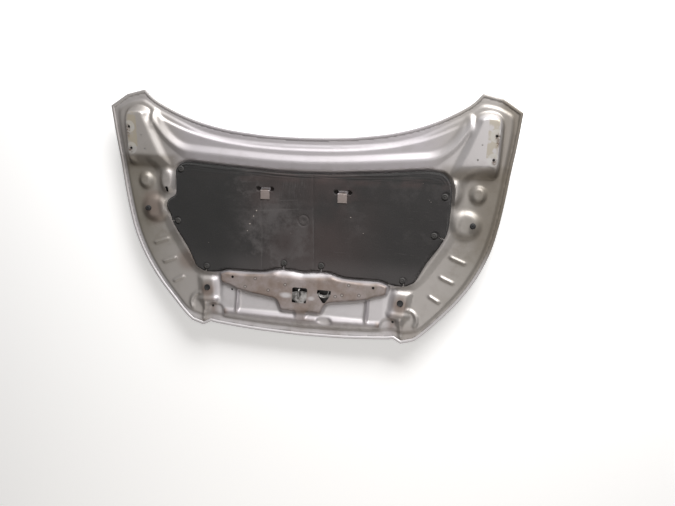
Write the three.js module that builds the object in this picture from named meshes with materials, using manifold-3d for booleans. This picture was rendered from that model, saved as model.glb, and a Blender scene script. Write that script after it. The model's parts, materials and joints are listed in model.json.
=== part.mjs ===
// Car bonnet lying on its outer skin, underside up: skin, inner panel, insulation pad and fittings.
// Millimetres. X runs across the car, Y towards the windscreen edge, Z up from the skin's lowest point.
import * as THREE from 'three';
import { mergeVertices } from 'three/addons/utils/BufferGeometryUtils.js';
import Module from 'manifold-3d';

const wasm = await Module();
wasm.setup();

// Overall size of the bonnet in plan
const bonnetWidth = 1440;
const bonnetLength = 879.5;

// Frame in which the plan points below are written: they stretch with the overall size
const drawn = { halfWidth: 720, frontY: -416, rearY: 463.5 };

// Crown of the outer skin: how far it has risen at the sides, the rear corners and the front edge
const crownSide = 70;
const crownRear = 21.8;
const crownFront = 66.8;

// Sheet metal and the hem that folds the skin over the panel's edge
const skinSheet = 0.8;
const panelSheet = 0.8;
const hemGap = 0.3;
const hemReturn = 10;
const rimBand = 15;
const rimStep = 30;

// How far apart the points of the facets lie: in fields, along walls, at seats and near the rim
const plainLattice = 60;
const panelLattice = 56;
const wallStep = 32;
const wallRoom = 11;
const wallShare = 0.8;
const latticeShare = 0.62;
const seatStep = 16;
const seatMargin = 2;
const rimMargin = 4;
const plateRim = 4;
const sharpestSpread = 0.35;

// Heights of the inner panel's visible face over the outside of the skin
const flangeHeight = 2.6;
const railHeight = 8;
const lensHeight = 15;
const ridgeHeight = 28;
const ridgeFall = 6;
const crestHeight = 16;
const trayHeight = 14;
const hingeHeight = 37;
const beamHeight = 25;
const plateauHeight = 31;
const recessHeight = 14;
const pocketHeight = 19;
const cornerHeight = 16;
const fixingPadHeight = 9;
const tongueHeight = 24;
const scallopHeight = 15;

// Insulation pad, lying in the panel's tray
const padThickness = 13;
const padEdge = 5;
const padBevel = 16;
const padClearance = 0.6;
const trayWall = 10;

// Push clips that hold the pad
const clipHeadRadius = 11;
const clipHeadHeight = 3;
const clipStemRadius = 3.6;
const clipTip = 7;
const barb = 0.9;
const fitGap = 0.3;
const seatGap = 0.5;

// Bent steel tongues that rise through slots in the pad and hook over it
const hookWidth = 34;
const hookReach = 38;
const hookSheet = 1.2;
const hookFoot = 9;
const slotWidth = 40;
const slotDepth = 15;
const slotEyeRadius = 9;

// Hinge fixing
const hingePlate = 2;
const boltHoleRadius = 4.6;
const nutRadius = 8;
const nutDepth = 7;

// Latch fittings at the front
const latchPlate = 1.5;
const bracketSheet = 2;
const strikerWire = 3.6;
const strikerSpan = 34;
const strikerRise = 17;
const catchWire = 2.2;

// Rubber buffers at the sides and plugs at the front corners
const bufferRadius = 10;
const bufferHeight = 13;
const bufferStemRadius = 4.5;
const bufferStemLength = 8;
const plugRadius = 11.5;
const plugHeight = 3.5;
const plugStemRadius = 8;
const plugStemLength = 6;

// Anti-flutter mastic between skin and panel
const masticRadius = 14;

const halfWidth = bonnetWidth / 2;
const stretchX = halfWidth / drawn.halfWidth;
const drawnMiddle = (drawn.rearY + drawn.frontY) / 2;
const stretchY = bonnetLength / (drawn.rearY - drawn.frontY);
const at = ([x, y, ...rest]) => [x * stretchX, (y - drawnMiddle) * stretchY, ...rest];
const flatLineY = at([0, 0])[1];
const mirror = ([x, y, ...rest]) => [-x, y, ...rest];
const clamp = (t) => Math.min(1, Math.max(0, t));
const smooth = (t) => clamp(t) ** 2 * (3 - 2 * clamp(t));

const paint = new THREE.MeshStandardMaterial({ color: 0xa9a69f, roughness: 0.38, metalness: 0.55 });
const felt = new THREE.MeshStandardMaterial({ color: 0x35312f, roughness: 0.95, metalness: 0 });
const steel = new THREE.MeshStandardMaterial({ color: 0x8d8a86, roughness: 0.4, metalness: 0.9 });
const rubber = new THREE.MeshStandardMaterial({ color: 0x1b1d20, roughness: 0.8, metalness: 0 });
const plastic = new THREE.MeshStandardMaterial({ color: 0x26262a, roughness: 0.6, metalness: 0 });
const mastic = new THREE.MeshStandardMaterial({ color: 0x4b4a46, roughness: 0.9, metalness: 0 });

// Plan outline of the right half, from the front centre round to the rear centre
const curve = (points, step) => {
  const line = new THREE.SplineCurve(points.map((p) => new THREE.Vector2(...at(p))));
  return line.getSpacedPoints(Math.max(1, Math.round(line.getLength() / step))).map((p) => [p.x, p.y]);
};
const joined = (pieces) => pieces.flatMap((piece, i) => (i ? piece.slice(1) : piece));
const halfOutline = joined([
  curve([[0, -416], [160, -411], [303, -398.5], [350, -391]], rimStep),
  curve([[350, -391], [378, -404.5]], rimStep),
  curve([[378, -404.5], [424, -390]], rimStep),
  curve([[424, -390], [450, -369], [492, -326], [567, -239], [624, -148], [661, -56], [681, 36], [693, 126],
    [702, 216], [712, 303], [720, 404]], rimStep),
  curve([[720, 404], [658, 446]], rimStep),
  curve([[658, 446], [594, 463.5]], rimStep),
  curve([[594, 463.5], [555, 426], [475, 384], [392, 354], [308, 334], [220, 322], [132, 314.5], [0, 311]],
    rimStep),
]);
const outline = [...halfOutline, ...halfOutline.slice(1, -1).reverse().map(mirror)];

// Right half of the pad's outline from the front centre, and the two halves of its real, uneven form
const padCorner = [[0, -178], [50, -173], [100, -172], [145, -185], [200, -188], [290, -185], [330, -199],
  [380, -200], [415, -182], [450, -110], [490, -50], [510, -12], [518, 20]];
const padRight = [...padCorner, [521, 100], [521, 150], [512, 182], [490, 205], [440, 212], [300, 200],
  [100, 187]];
const padLeft = [...padCorner, [529, 35], [529, 60], [515, 75], [492, 88], [491, 182], [470, 206],
  [440, 212], [300, 200], [100, 187]];
const stepped = (loop, step) => loop.flatMap(([x, y], i) => {
  const [qx, qy] = loop[(i + 1) % loop.length];
  const count = Math.max(1, Math.round(Math.hypot(qx - x, qy - y) / step));
  return Array.from({ length: count }, (_, k) => [x + (qx - x) * k / count, y + (qy - y) * k / count]);
});
const padOutline = stepped(
  [...padRight.map(at), at([0, 186]), ...padLeft.slice(1).reverse().map(at).map(mirror)], rimStep);

// Walls of the panel's terraces: each side runs from one point to the next over a wall of the width w
const sidesOf = (points, w) => points.map((p, i) => {
  const q = points[(i + 1) % points.length];
  return [p[0], p[1], q[0], q[1], p[2] ?? w];
});
const both = (half, w) => {
  const sides = sidesOf(half.map(at), w).slice(0, -1);
  return [...sides, ...sides.map(([ax, ay, bx, by, wall]) => [-bx, by, -ax, ay, wall])];
};
const pair = (loop, w, height) => [
  { sides: sidesOf(loop.map(at), w), height },
  { sides: sidesOf(loop.map(at).map(mirror), w), height },
];

// Height of the skin's outside over its lowest point
const crown = (x, y) => {
  const along = (y - flatLineY) / (bonnetLength / 2);
  return crownSide * (x / halfWidth) ** 2 + (along > 0 ? crownRear : crownFront) * along ** 2;
};

// The rear ridge falls away towards the pad, and the crest beside the pad is lower
const ridgeLine = [[0, 225], [200, 230], [400, 243], [450, 250], [480, 265], [505, 285], [530, 310],
  [560, 350]].map(at);
const ridgeY = (x) => {
  const i = Math.max(1, ridgeLine.findIndex((p) => p[0] >= Math.abs(x)));
  const [a, b] = [ridgeLine[i - 1], ridgeLine[i]];
  return a[1] + (b[1] - a[1]) * clamp((Math.abs(x) - a[0]) / (b[0] - a[0]));
};
const [, crestTopY] = at([0, 150]);
const [, ridgeFootY] = at([0, 205]);
const ridgeSurface = (x, y) => {
  const rear = ridgeHeight - ridgeFall * clamp((ridgeY(x) - y) / (at([0, 45])[1] - flatLineY));
  return crestHeight + (rear - crestHeight) * smooth((y - crestTopY) / (ridgeFootY - crestTopY));
};

// The hinge plateau is truly flat, tilted with the crown under its middle
const hingeMiddle = at([615, 315]);
const hingeSlope = [2 * crownSide * hingeMiddle[0] / halfWidth ** 2,
  2 * crownRear * (hingeMiddle[1] - flatLineY) / (bonnetLength / 2) ** 2];
const hingePlane = (x, y) => crown(...hingeMiddle) + hingeHeight
  + hingeSlope[0] * (Math.abs(x) - hingeMiddle[0]) + hingeSlope[1] * (y - hingeMiddle[1]);
const hingeSurface = (x, y) => hingePlane(x, y) - crown(x, y);

const level = (height) => () => height;
const railOutline = [[0, -386], [150, -382], [290, -372], [330, -363], [360, -363], [380, -370], [402, -366],
  [430, -349], [460, -309], [500, -259], [540, -209], [575, -154], [610, -94], [640, -24], [655, 60],
  [663, 150], [670, 235], [680, 330], [688, 385], [682, 402], [665, 415], [645, 425], [605, 433], [588, 430],
  [550, 400], [500, 375], [450, 350], [400, 328], [350, 315], [300, 305], [200, 295], [100, 290], [0, 289]];
const lensOutline = [[0, 200], [470, 200], [540, 300], [554, 386, 10], [540, 378], [520, 362], [450, 331],
  [400, 315], [350, 303], [300, 293], [200, 281], [100, 275], [0, 274]];
const ridgeOutline = [[0, -215, 24], [330, -215, 24], [405, -222, 34], [440, -196, 34], [480, -141, 34],
  [520, -76, 34], [548, -21, 34], [562, 24, 34], [568, 120, 34], [572, 190, 24], [600, 200], [600, 330],
  [590, 385], [565, 404], [548, 396], [535, 372], [520, 345], [500, 316], [470, 290], [440, 279], [400, 276],
  [300, 268], [200, 260], [100, 254], [0, 252]];
const hingeOutline = [[500, 188, 46], [650, 188, 16], [664, 207, 8], [666, 393, 12], [650, 413, 14],
  [622, 421, 14], [596, 418, 12], [572, 400, 22], [573, 372, 22], [548, 300, 22]];
const lipY = -202;
const plateauRear = padCorner.slice(0, 7).map(([x, y]) => [x, y - 1, Math.max(10, y - lipY)]).reverse();
const plateauOutline = [[0, -335], [74, -335, 10], [86, -327, 10], [93, -305, 10], [101, -288], [150, -280],
  [200, -273], [250, -262], [280, -248], [315, -241], [324, -222, 14], ...plateauRear];
const scallopLoop = [[56, -352], [74, -366], [106, -368], [126, -354], [112, -338], [70, -337]];
const beamOutline = [[0, -387, 36], [150, -383, 36], [290, -373, 30], [335, -364, 20], [345, -340, 16],
  [340, -230], [0, -230]];
const recessLoop = [[17, -353, 23], [245, -351, 7], [250, -235], [17, -235]];
const pocketLoop = [[248, -350, 18], [326, -346], [326, -300], [322, -236], [248, -236]];
const cornerLoop = [[336, -352], [365, -356], [400, -326], [404, -240], [412, -212], [336, -206]];
const fixingPadLoop = [[296, -356], [298, -334], [312, -320], [334, -314], [362, -316], [364, -356]];
const tongueLoop = [[-16, -354], [16, -354], [16, -312], [-16, -312]];

const trayOutline = inset(padOutline, -(padClearance + trayWall));
const terraces = [
  { sides: both(railOutline, 8), height: level(railHeight) },
  { sides: both(lensOutline, 10), height: level(lensHeight) },
  { sides: both(ridgeOutline, 30), height: ridgeSurface },
  ...pair(hingeOutline, 12, hingeSurface),
  ...pair(cornerLoop, 14, level(cornerHeight)),
  { sides: both(beamOutline, 12), height: level(beamHeight) },
  ...pair(recessLoop, 8, level(recessHeight)),
  ...pair(pocketLoop, 8, level(pocketHeight)),
  ...pair(fixingPadLoop, 8, level(fixingPadHeight)),
  { sides: sidesOf(tongueLoop.map(at), 5), height: level(tongueHeight) },
  { sides: sidesOf(scallopLoop.map(at), 7), height: level(scallopHeight) },
  { sides: both(plateauOutline, 8), height: level(plateauHeight) },
];
const tray = { sides: sidesOf(trayOutline, trayWall), height: level(trayHeight) };

// Round swellings and narrow beads pressed into the panel
const domes = [[606, 138, 31, 36, 13], [522, 140, 35, 56, 15], [574, 34, 60, 59, 14]]
  .map(([x, y, rx, ry, rise]) => ({ middle: at([x, y]), rx, ry, rise }));
const domeShoulder = 0.38;
const beads = [
  [[532, -81], [580, -99], 7, 5], [[501, -154], [543, -171], 7, 5], [[469, -224], [502, -243], 7, 5],
  [[394, -285], [413, -293], 7, 5], [[413, -293], [422, -309], 7, 5], [[422, -309], [424, -334], 7, 5],
  [[371, -326], [371, -372], 8, 4], [[340, -220], [396, -231], 18, 6], [[326, -305], [392, -303], 16, 6],
].map(([a, b, half, rise]) => ({ a: at(a), b: at(b), half, rise }));

const toSegment = (x, y, ax, ay, bx, by) => {
  const [ux, uy] = [bx - ax, by - ay];
  const t = clamp(((x - ax) * ux + (y - ay) * uy) / (ux * ux + uy * uy));
  return Math.hypot(x - ax - t * ux, y - ay - t * uy);
};

// 0 outside a terrace, rising to 1 across its wall
function share(sides, x, y) {
  let inside = false;
  let nearest = Infinity;
  for (const [ax, ay, bx, by, wall] of sides) {
    if ((ay > y) !== (by > y) && x < ax + (y - ay) * (bx - ax) / (by - ay)) inside = !inside;
    nearest = Math.min(nearest, toSegment(x, y, ax, ay, bx, by) / wall);
  }
  return inside ? smooth(nearest) : 0;
}

// Height of the inner panel's visible face over the outside of the skin
function relief(x, y) {
  let h = flangeHeight;
  for (const { sides, height } of terraces) h += (height(x, y) - h) * share(sides, x, y);
  for (const { middle, rx, ry, rise } of domes) {
    const r = Math.hypot((Math.abs(x) - middle[0]) / rx, (y - middle[1]) / ry);
    h += rise * smooth((1 - r) / domeShoulder);
  }
  for (const { a, b, half, rise } of beads) {
    h += rise * smooth(1 - toSegment(Math.abs(x), y, ...a, ...b) / half);
  }
  return h + (tray.height(x, y) - h) * share(tray.sides, x, y);
}

// A loop moved inwards, with its corners mitred but for the sharpest
function inset(loop, depth) {
  return loop.map(([x, y], i) => {
    const [px, py] = loop[(i + loop.length - 1) % loop.length];
    const [qx, qy] = loop[(i + 1) % loop.length];
    const before = [py - y, x - px].map((v) => v / Math.hypot(x - px, y - py));
    const after = [y - qy, qx - x].map((v) => v / Math.hypot(qx - x, qy - y));
    const spread = Math.max(sharpestSpread, (1 + before[0] * after[0] + before[1] * after[1]) / 2);
    const reach = depth / (2 * spread);
    return [x + reach * (before[0] + after[0]), y + reach * (before[1] + after[1])];
  });
}

// Triangles between plan points, adding one point at a time and keeping every circle empty
function triangulate(points) {
  const count = points.length;
  const nudge = (i, k) => 1e-3 * Math.sin(12.9898 * i + 78.233 * k);
  const p = points.map(([x, y], i) => [x + nudge(i, 1), y + nudge(i, 2)]);
  const far = 1e6;
  p.push([-far, -far], [far, -far], [0, far]);
  const circled = (corners) => {
    const [[ax, ay], [bx, by], [cx, cy]] = corners.map((i) => p[i]);
    const [ux, uy, vx, vy] = [bx - ax, by - ay, cx - ax, cy - ay];
    const turn = 2 * (ux * vy - uy * vx);
    const dx = (vy * (ux * ux + uy * uy) - uy * (vx * vx + vy * vy)) / turn;
    const dy = (ux * (vx * vx + vy * vy) - vx * (ux * ux + uy * uy)) / turn;
    return { corners, x: ax + dx, y: ay + dy, reach: dx * dx + dy * dy };
  };
  let triangles = [circled([count, count + 1, count + 2])];
  for (let i = 0; i < count; i += 1) {
    const rim = new Map();
    triangles = triangles.filter(({ corners, x, y, reach }) => {
      if ((p[i][0] - x) ** 2 + (p[i][1] - y) ** 2 >= reach) return true;
      corners.forEach((a, k) => {
        const b = corners[(k + 1) % 3];
        if (!rim.delete(`${b},${a}`)) rim.set(`${a},${b}`, [a, b]);
      });
      return false;
    });
    for (const [a, b] of rim.values()) triangles.push(circled([a, b, i]));
  }
  return triangles.map((t) => t.corners).filter((corners) => corners.every((i) => i < count));
}

const solid = (positions, indices) => new wasm.Manifold(new wasm.Mesh({
  numProp: 3, vertProperties: new Float32Array(positions), triVerts: new Uint32Array(indices),
}));

// A closed sheet: a section swept round the loop, and a field between with points of its own
function sheet(loop, section, fieldPoints, lower, upper) {
  const n = loop.length;
  const rings = section.map(([depth, height]) => (
    inset(loop, depth).map(([x, y]) => [x, y, crown(x, y) + height])));
  const rim = rings[0].map(([x, y]) => [x, y]);
  const triangles = triangulate([...rim, ...fieldPoints]).filter((corners) => {
    const [a, b, c] = corners.map((i) => rim[i] ?? fieldPoints[i - n]);
    const middle = [(a[0] + b[0] + c[0]) / 3, (a[1] + b[1] + c[1]) / 3];
    return share(sidesOf(rim, 1), ...middle) > 0;
  });
  const firstLower = rings.length * n;
  const firstUpper = firstLower + fieldPoints.length;
  const positions = [
    ...rings.flat(),
    ...fieldPoints.map(([x, y]) => [x, y, crown(x, y) + lower(x, y)]),
    ...fieldPoints.map(([x, y]) => [x, y, crown(x, y) + upper(x, y)]),
  ];
  const indices = [];
  for (let k = 0; k + 1 < rings.length; k += 1) {
    for (let i = 0; i < n; i += 1) {
      const [a, b] = [k * n + i, k * n + (i + 1) % n];
      indices.push(a, b, a + n, b, b + n, a + n);
    }
  }
  for (const [a, b, c] of triangles) {
    const low = (i) => (i < n ? i : firstLower + i - n);
    const high = (i) => (i < n ? (rings.length - 1) * n + i : firstUpper + i - n);
    indices.push(low(a), low(c), low(b), high(a), high(b), high(c));
  }
  return solid(positions.flat(), indices);
}

// Points for a field: the given ones, thinned, then a lattice wherever there is room
// No point but those of the seats comes so near a seat's edge that a triangle could cross that edge
function scatter(loop, lattice, seats = [], wanted = [], seatEdges = []) {
  const sides = sidesOf(loop, 1);
  const edges = seatEdges.flatMap((edge) => sidesOf(edge, 1));
  const kept = loop.slice();
  const field = [];
  const keep = (x, y) => {
    kept.push([x, y]);
    field.push([x, y]);
  };
  const offer = (x, y, gap) => {
    if (share(sides, x, y) === 0 || kept.some((p) => Math.hypot(p[0] - x, p[1] - y) < gap)) return;
    const clear = (lines, room) => lines.every((line) => toSegment(x, y, ...line.slice(0, 4)) > room);
    if (clear(sides, rimMargin) && clear(edges, seatStep / 2)) keep(x, y);
  };
  for (const [x, y] of seats) keep(x, y);
  for (const [x, y, gap] of wanted) offer(x, y, gap);
  const rowHeight = lattice * Math.sqrt(3) / 2;
  for (let row = 0; row * rowHeight < bonnetLength; row += 1) {
    const y = -bonnetLength / 2 + row * rowHeight;
    for (let x = (row % 2) * lattice / 2; x < halfWidth; x += lattice) {
      offer(x, y, lattice * latticeShare);
      offer(-x, y, lattice * latticeShare);
    }
  }
  return field;
}

// Points along a terrace's wall, at its foot and its top, with less room round them on a steep wall
function wallPoints({ sides }, step, gap) {
  return sides.flatMap(([ax, ay, bx, by, wall]) => {
    const length = Math.hypot(bx - ax, by - ay);
    const count = Math.max(1, Math.round(length / step));
    const [nx, ny] = [(ay - by) / length * wall, (bx - ax) / length * wall];
    const room = Math.min(gap, wall * wallShare);
    return Array.from({ length: count }, (_, i) => {
      const [x, y] = [ax + (bx - ax) * i / count, ay + (by - ay) * i / count];
      const towards = share(sides, x + nx * 0.5, y + ny * 0.5) > 0 ? 1 : -1;
      return [[x, y, room], [x + nx * towards, y + ny * towards, room]];
    }).flat();
  });
}
const domePoints = domes.flatMap(({ middle: [cx, cy], rx, ry }) => [1, -1].flatMap((side) => [
  [side * cx, cy, 6],
  ...[[1 - domeShoulder, 7], [1, 10]].flatMap(([share, count]) => Array.from({ length: count }, (_, i) => {
    const angle = 2 * Math.PI * (i + 0.5) / count;
    return [side * (cx + rx * share * Math.cos(angle)), cy + ry * share * Math.sin(angle), 6];
  })),
]));
const beadPoints = beads.flatMap(({ a, b, half }) => {
  const length = Math.hypot(b[0] - a[0], b[1] - a[1]);
  const [ux, uy] = [(b[0] - a[0]) / length, (b[1] - a[1]) / length];
  const stations = [[-half, 0], [0, half], [0, 0], [0, -half], [length, half], [length, 0], [length, -half],
    [length + half, 0]];
  return [1, -1].flatMap((side) => stations.map(([s, t]) => (
    [side * (a[0] + ux * s - uy * t), a[1] + uy * s + ux * t, 3.5])));
});

// Booleans and meshes
const fromGeometry = (geometry) => {
  geometry.deleteAttribute('normal');
  geometry.deleteAttribute('uv');
  const merged = mergeVertices(geometry, 1e-4);
  return solid(merged.attributes.position.array, merged.index.array);
};
const placed = (body, matrix) => body.transform(matrix.elements);
const toMesh = (name, body, material) => {
  const { vertProperties, triVerts } = body.getMesh();
  const geometry = new THREE.BufferGeometry();
  geometry.setAttribute('position', new THREE.BufferAttribute(vertProperties, 3));
  geometry.setIndex(new THREE.BufferAttribute(triVerts, 1));
  geometry.computeVertexNormals();
  const mesh = new THREE.Mesh(geometry, material);
  mesh.name = name;
  return mesh;
};

// A turned piece: its profile is a list of radius and height, up the local axis
const turned = (profile, facets = 14) => {
  const geometry = new THREE.LatheGeometry(profile.map(([r, z]) => new THREE.Vector2(r, z)), facets);
  geometry.rotateX(Math.PI / 2);
  return fromGeometry(geometry);
};
const rod = (radius, from, to, facets = 12) => (
  turned([[0, from], [radius, from], [radius, to], [0, to]], facets));
const prism = (loop, from, to) => {
  const shape = new THREE.Shape(loop.map(([x, y]) => new THREE.Vector2(x, y)));
  const geometry = new THREE.ExtrudeGeometry(shape, { depth: to - from, bevelEnabled: false });
  geometry.translate(0, 0, from);
  return fromGeometry(geometry);
};

// Stands a piece on a surface, with its own axis along the skin's normal there
const standing = ([x, y], height) => {
  const slopeX = (crown(x + 1, y) - crown(x - 1, y)) / 2;
  const slopeY = (crown(x, y + 1) - crown(x, y - 1)) / 2;
  const normal = new THREE.Vector3(-slopeX, -slopeY, 1).normalize();
  const tilt = new THREE.Quaternion().setFromUnitVectors(new THREE.Vector3(0, 0, 1), normal);
  const base = new THREE.Vector3(x, y, crown(x, y)).addScaledVector(normal, height);
  return new THREE.Matrix4().compose(base, tilt, new THREE.Vector3(1, 1, 1));
};

// Stands a piece square to the hinge plateau of a side, so far under it
const squareToHinge = (side, seat, drop) => {
  const [x, y] = at([side * seat[0], seat[1]]);
  const normal = new THREE.Vector3(-side * hingeSlope[0], -hingeSlope[1], 1).normalize();
  const tilt = new THREE.Quaternion().setFromUnitVectors(new THREE.Vector3(0, 0, 1), normal);
  const base = new THREE.Vector3(x, y, hingePlane(x, y)).addScaledVector(normal, -drop);
  return new THREE.Matrix4().compose(base, tilt, new THREE.Vector3(1, 1, 1));
};

// Where things sit, in drawn plan points
const hingeBolts = [[644, 330.5], [641.3, 254.6]];
const bufferSeat = [600, 34.5];
const plugSeat = [370, -262.7];
const clipSeats = {
  front_right: [374, -180], front_left: [-374, -180], middle_right: [70, -152], middle_left: [-74, -152],
  side_right: [474, -9], side_left: [-487, -9], rear_right: [501, 128], rear_left: [-470, 186],
};
const hookSeats = { right: [140, 127], left: [-151, 127] };
const strikerSeat = [-6, -263];
const masticSeats = [[-300, 120], [300, 120], [0, 60], [-330, -90], [330, -90], [0, -120]];

const twoSides = (points) => points.flatMap(([x, y]) => [['right', [x, y]], ['left', [-x, y]]]);

const strikerOpening = [[-33, -291], [21, -291], [23, -240], [19, -235], [-31, -235], [-35, -240]];
const catchOpening = [[60, -252], [84, -284], [92, -284], [112, -254], [113, -237], [61, -237]];
const smallHoles = [[268, -212, 5], [-268, -212, 5], [-273, -263, 3.5], [345, -330.3, 4.5],
  [-345, -330.3, 4.5], [602.5, 301.9, 3], [-602.5, 301.9, 3], [592.6, 253.4, 3.5], [-592.6, 253.4, 3.5]];
const staySlot = [[-527, 98], [-519, 98], [-518, 118], [-528, 118]];
const hingePlateLoop = [[576, 246], [652, 246], [652, 385], [640, 398], [608, 402], [604, 392], [600, 350]];
const latchPlateLoop = [[-54, -318], [54, -318], [74, -300], [94, -269], [140, -267], [140, -212],
  [-82, -212], [-82, -285], [-76, -302]];
const strikerBracketLoop = [[-56, -285], [44, -285], [44, -243], [-56, -243]];
const catchBracketLoop = [[50, -263], [122, -263], [122, -246], [50, -246]];
const catchPath = [[104, -238], [102, -250], [99, -259], [90, -263], [76, -262], [70, -256], [69, -247]];

// Outer skin, hemmed all round over the inner panel's edge
const hemTop = skinSheet * 2 + panelSheet + hemGap * 2;
const foldRadius = skinSheet / 2;
const hemUnder = hemTop - skinSheet;
const skinSection = [[rimBand, 0], [foldRadius, 0], [0, hemTop / 2], [foldRadius, hemTop],
  [hemReturn, hemTop], [hemReturn, hemUnder], [skinSheet, hemUnder], [skinSheet, skinSheet],
  [rimBand, skinSheet]];
const rimLoop = inset(outline, rimBand);
const skinPoints = scatter(rimLoop, plainLattice, [[0, flatLineY]]);
const outerSkin = sheet(outline, skinSection, skinPoints, level(0), level(skinSheet));

// Inner panel, one pressing from edge to edge
const panelUnder = skinSheet + hemGap;
const panelOver = panelUnder + panelSheet;
const panelSection = [[rimBand, panelUnder], [panelUnder, panelUnder], [panelUnder, panelOver],
  [rimBand, panelOver]];
const ring = ([cx, cy], radius, count = 8) => Array.from({ length: count }, (_, i) => {
  const angle = 2 * Math.PI * (i + 0.5) / count;
  return [cx + radius * Math.cos(angle), cy + radius * Math.sin(angle)];
});
const hingeTop = stepped(inset(hingePlateLoop.map(at), -seatMargin), seatStep);
const latchTop = stepped(inset(latchPlateLoop.map(at), -seatMargin), seatStep);
const seatEdges = [
  hingeTop, hingeTop.map(mirror), latchTop, stepped(inset(padOutline, -padClearance), seatStep),
  ...twoSides([bufferSeat]).map(([, seat]) => ring(at(seat), bufferRadius + seatMargin)),
  ...twoSides([plugSeat]).map(([, seat]) => ring(at(seat), plugRadius + seatMargin)),
];
const panelPoints = scatter(rimLoop, panelLattice, [...seatEdges.flat(), ...trayOutline], [
  ...beadPoints, ...domePoints, ...terraces.flatMap((terrace) => wallPoints(terrace, wallStep, wallRoom)),
], seatEdges);
const panelBlank = sheet(outline, panelSection, panelPoints, (x, y) => relief(x, y) - panelSheet, relief);

const high = crownSide + crownFront + plateauHeight;
const drilled = ([x, y], radius, facets) => rod(radius, 0, high, facets).translate([...at([x, y]), 0]);
const boltHoles = (side) => hingeBolts.map((seat) => (
  placed(rod(boltHoleRadius, -clipTip, clipTip), squareToHinge(side, seat, 0))));
const onPanel = (seat, gap) => standing(at(seat), relief(...at(seat)) + gap);
const bored = (seat, radius) => placed(rod(radius, -clipTip, clipTip), onPanel(seat, 0));
const cut = (body, tools) => tools.reduce((rest, tool) => rest.subtract(tool), body);
const clipHoles = Object.values(clipSeats).map((seat) => (
  placed(rod(clipStemRadius + fitGap, -clipTip, padThickness * 2), standing(at(seat), trayHeight))));
const openings = [strikerOpening, catchOpening].map((loop) => prism(loop.map(at), 0, high));
const innerPanel = cut(panelBlank, [
  ...clipHoles, ...openings, prism(staySlot.map(at), 0, high),
  ...boltHoles(1), ...boltHoles(-1),
  ...twoSides([bufferSeat]).map(([, seat]) => bored(seat, bufferStemRadius + fitGap)),
  ...twoSides([plugSeat]).map(([, seat]) => bored(seat, plugStemRadius + fitGap)),
  ...smallHoles.map(([x, y, radius]) => drilled([x, y], radius, 10)),
]);

// Moulded pad, thinner at its edge, slotted for the hooks
const seatHeight = trayHeight + padClearance;
const padFace = seatHeight + padThickness;
const padSection = [[padBevel, seatHeight], [0, seatHeight], [0, seatHeight + padEdge],
  [padBevel, padFace]];
const padPoints = scatter(inset(padOutline, padBevel), plainLattice);
const padBlank = sheet(padOutline, padSection, padPoints, level(seatHeight), level(padFace));
const slotTools = Object.values(hookSeats).flatMap((seat) => {
  const frame = standing(at(seat), trayHeight);
  const [w, d] = [slotWidth / 2, slotDepth / 2];
  return [placed(prism([[-w, -d], [w, -d], [w, d], [-w, d]], -clipTip, padThickness * 2), frame),
    ...[-1, 1].map((end) => placed(rod(slotEyeRadius, -clipTip, padThickness * 2, 10)
      .translate([end * (slotWidth + slotEyeRadius) / 2, 0, 0]), frame))];
});
const pad = cut(padBlank, [...clipHoles, ...slotTools]);

// Push clips: a domed head on the pad and a barbed stem through the panel
const underPanel = -(padThickness + padClearance + seatGap + panelSheet + fitGap);
const clipBody = turned([[0, underPanel - clipTip], [clipStemRadius - barb, underPanel - clipTip],
  [clipStemRadius + barb, underPanel - fitGap], [clipStemRadius, underPanel - fitGap], [clipStemRadius, 0],
  [clipHeadRadius, 0], [clipHeadRadius, clipHeadHeight / 3], [clipHeadRadius * 0.6, clipHeadHeight],
  [0, clipHeadHeight]], 9);

// Hook: foot on the panel, upright through the slot, arm over the pad
const armHeight = padThickness + padClearance + seatGap;
const hookUpright = -slotDepth / 2 + fitGap;
const hookProfile = [[hookUpright + hookFoot, fitGap], [hookUpright + hookFoot, fitGap + hookSheet],
  [hookUpright + hookSheet, fitGap + hookSheet], [hookUpright + hookSheet, armHeight + hookSheet],
  [hookUpright - hookReach, armHeight + hookSheet], [hookUpright - hookReach, armHeight],
  [hookUpright, armHeight], [hookUpright, fitGap]];
const sideways = new THREE.Matrix4().makeBasis(
  new THREE.Vector3(0, 1, 0), new THREE.Vector3(0, 0, 1), new THREE.Vector3(1, 0, 0));
const hookBody = placed(prism(hookProfile, -hookWidth / 2, hookWidth / 2), sideways);

// Hinge reinforcement plates and their weld nuts, on the underside of the flat hinge plateau
const plateUnder = panelSheet + fitGap + hingePlate;
const onHinge = (side, drop) => new THREE.Matrix4().set(
  1, 0, 0, 0, 0, 1, 0, 0, side * hingeSlope[0], hingeSlope[1], 1, hingePlane(0, 0) - drop, 0, 0, 0, 1);
const hingePlateBody = (side) => {
  const loop = hingePlateLoop.map(at);
  const flat = prism(side > 0 ? loop : loop.map(mirror).reverse(), 0, hingePlate);
  return cut(placed(flat, onHinge(side, plateUnder)), boltHoles(side));
};
const nut = turned([[boltHoleRadius, -nutDepth], [nutRadius, -nutDepth], [nutRadius, 0],
  [boltHoleRadius, 0], [boltHoleRadius, -nutDepth]], 12);

// Latch reinforcement under the front plateau, and the brackets welded under it
const plate = (drawnLoop, bottom, thickness) => {
  const loop = stepped(drawnLoop.map(at), rimStep);
  const points = scatter(inset(loop, plateRim), rimStep);
  const top = bottom + thickness;
  const section = [[plateRim, bottom], [0, bottom], [0, top], [plateRim, top]];
  return sheet(loop, section, points, level(bottom), level(top));
};
const latchBottom = plateauHeight - panelSheet - fitGap - latchPlate;
const bracketBottom = latchBottom - fitGap - bracketSheet;
const latchReinforcement = cut(plate(latchPlateLoop, latchBottom, latchPlate), openings);

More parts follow.
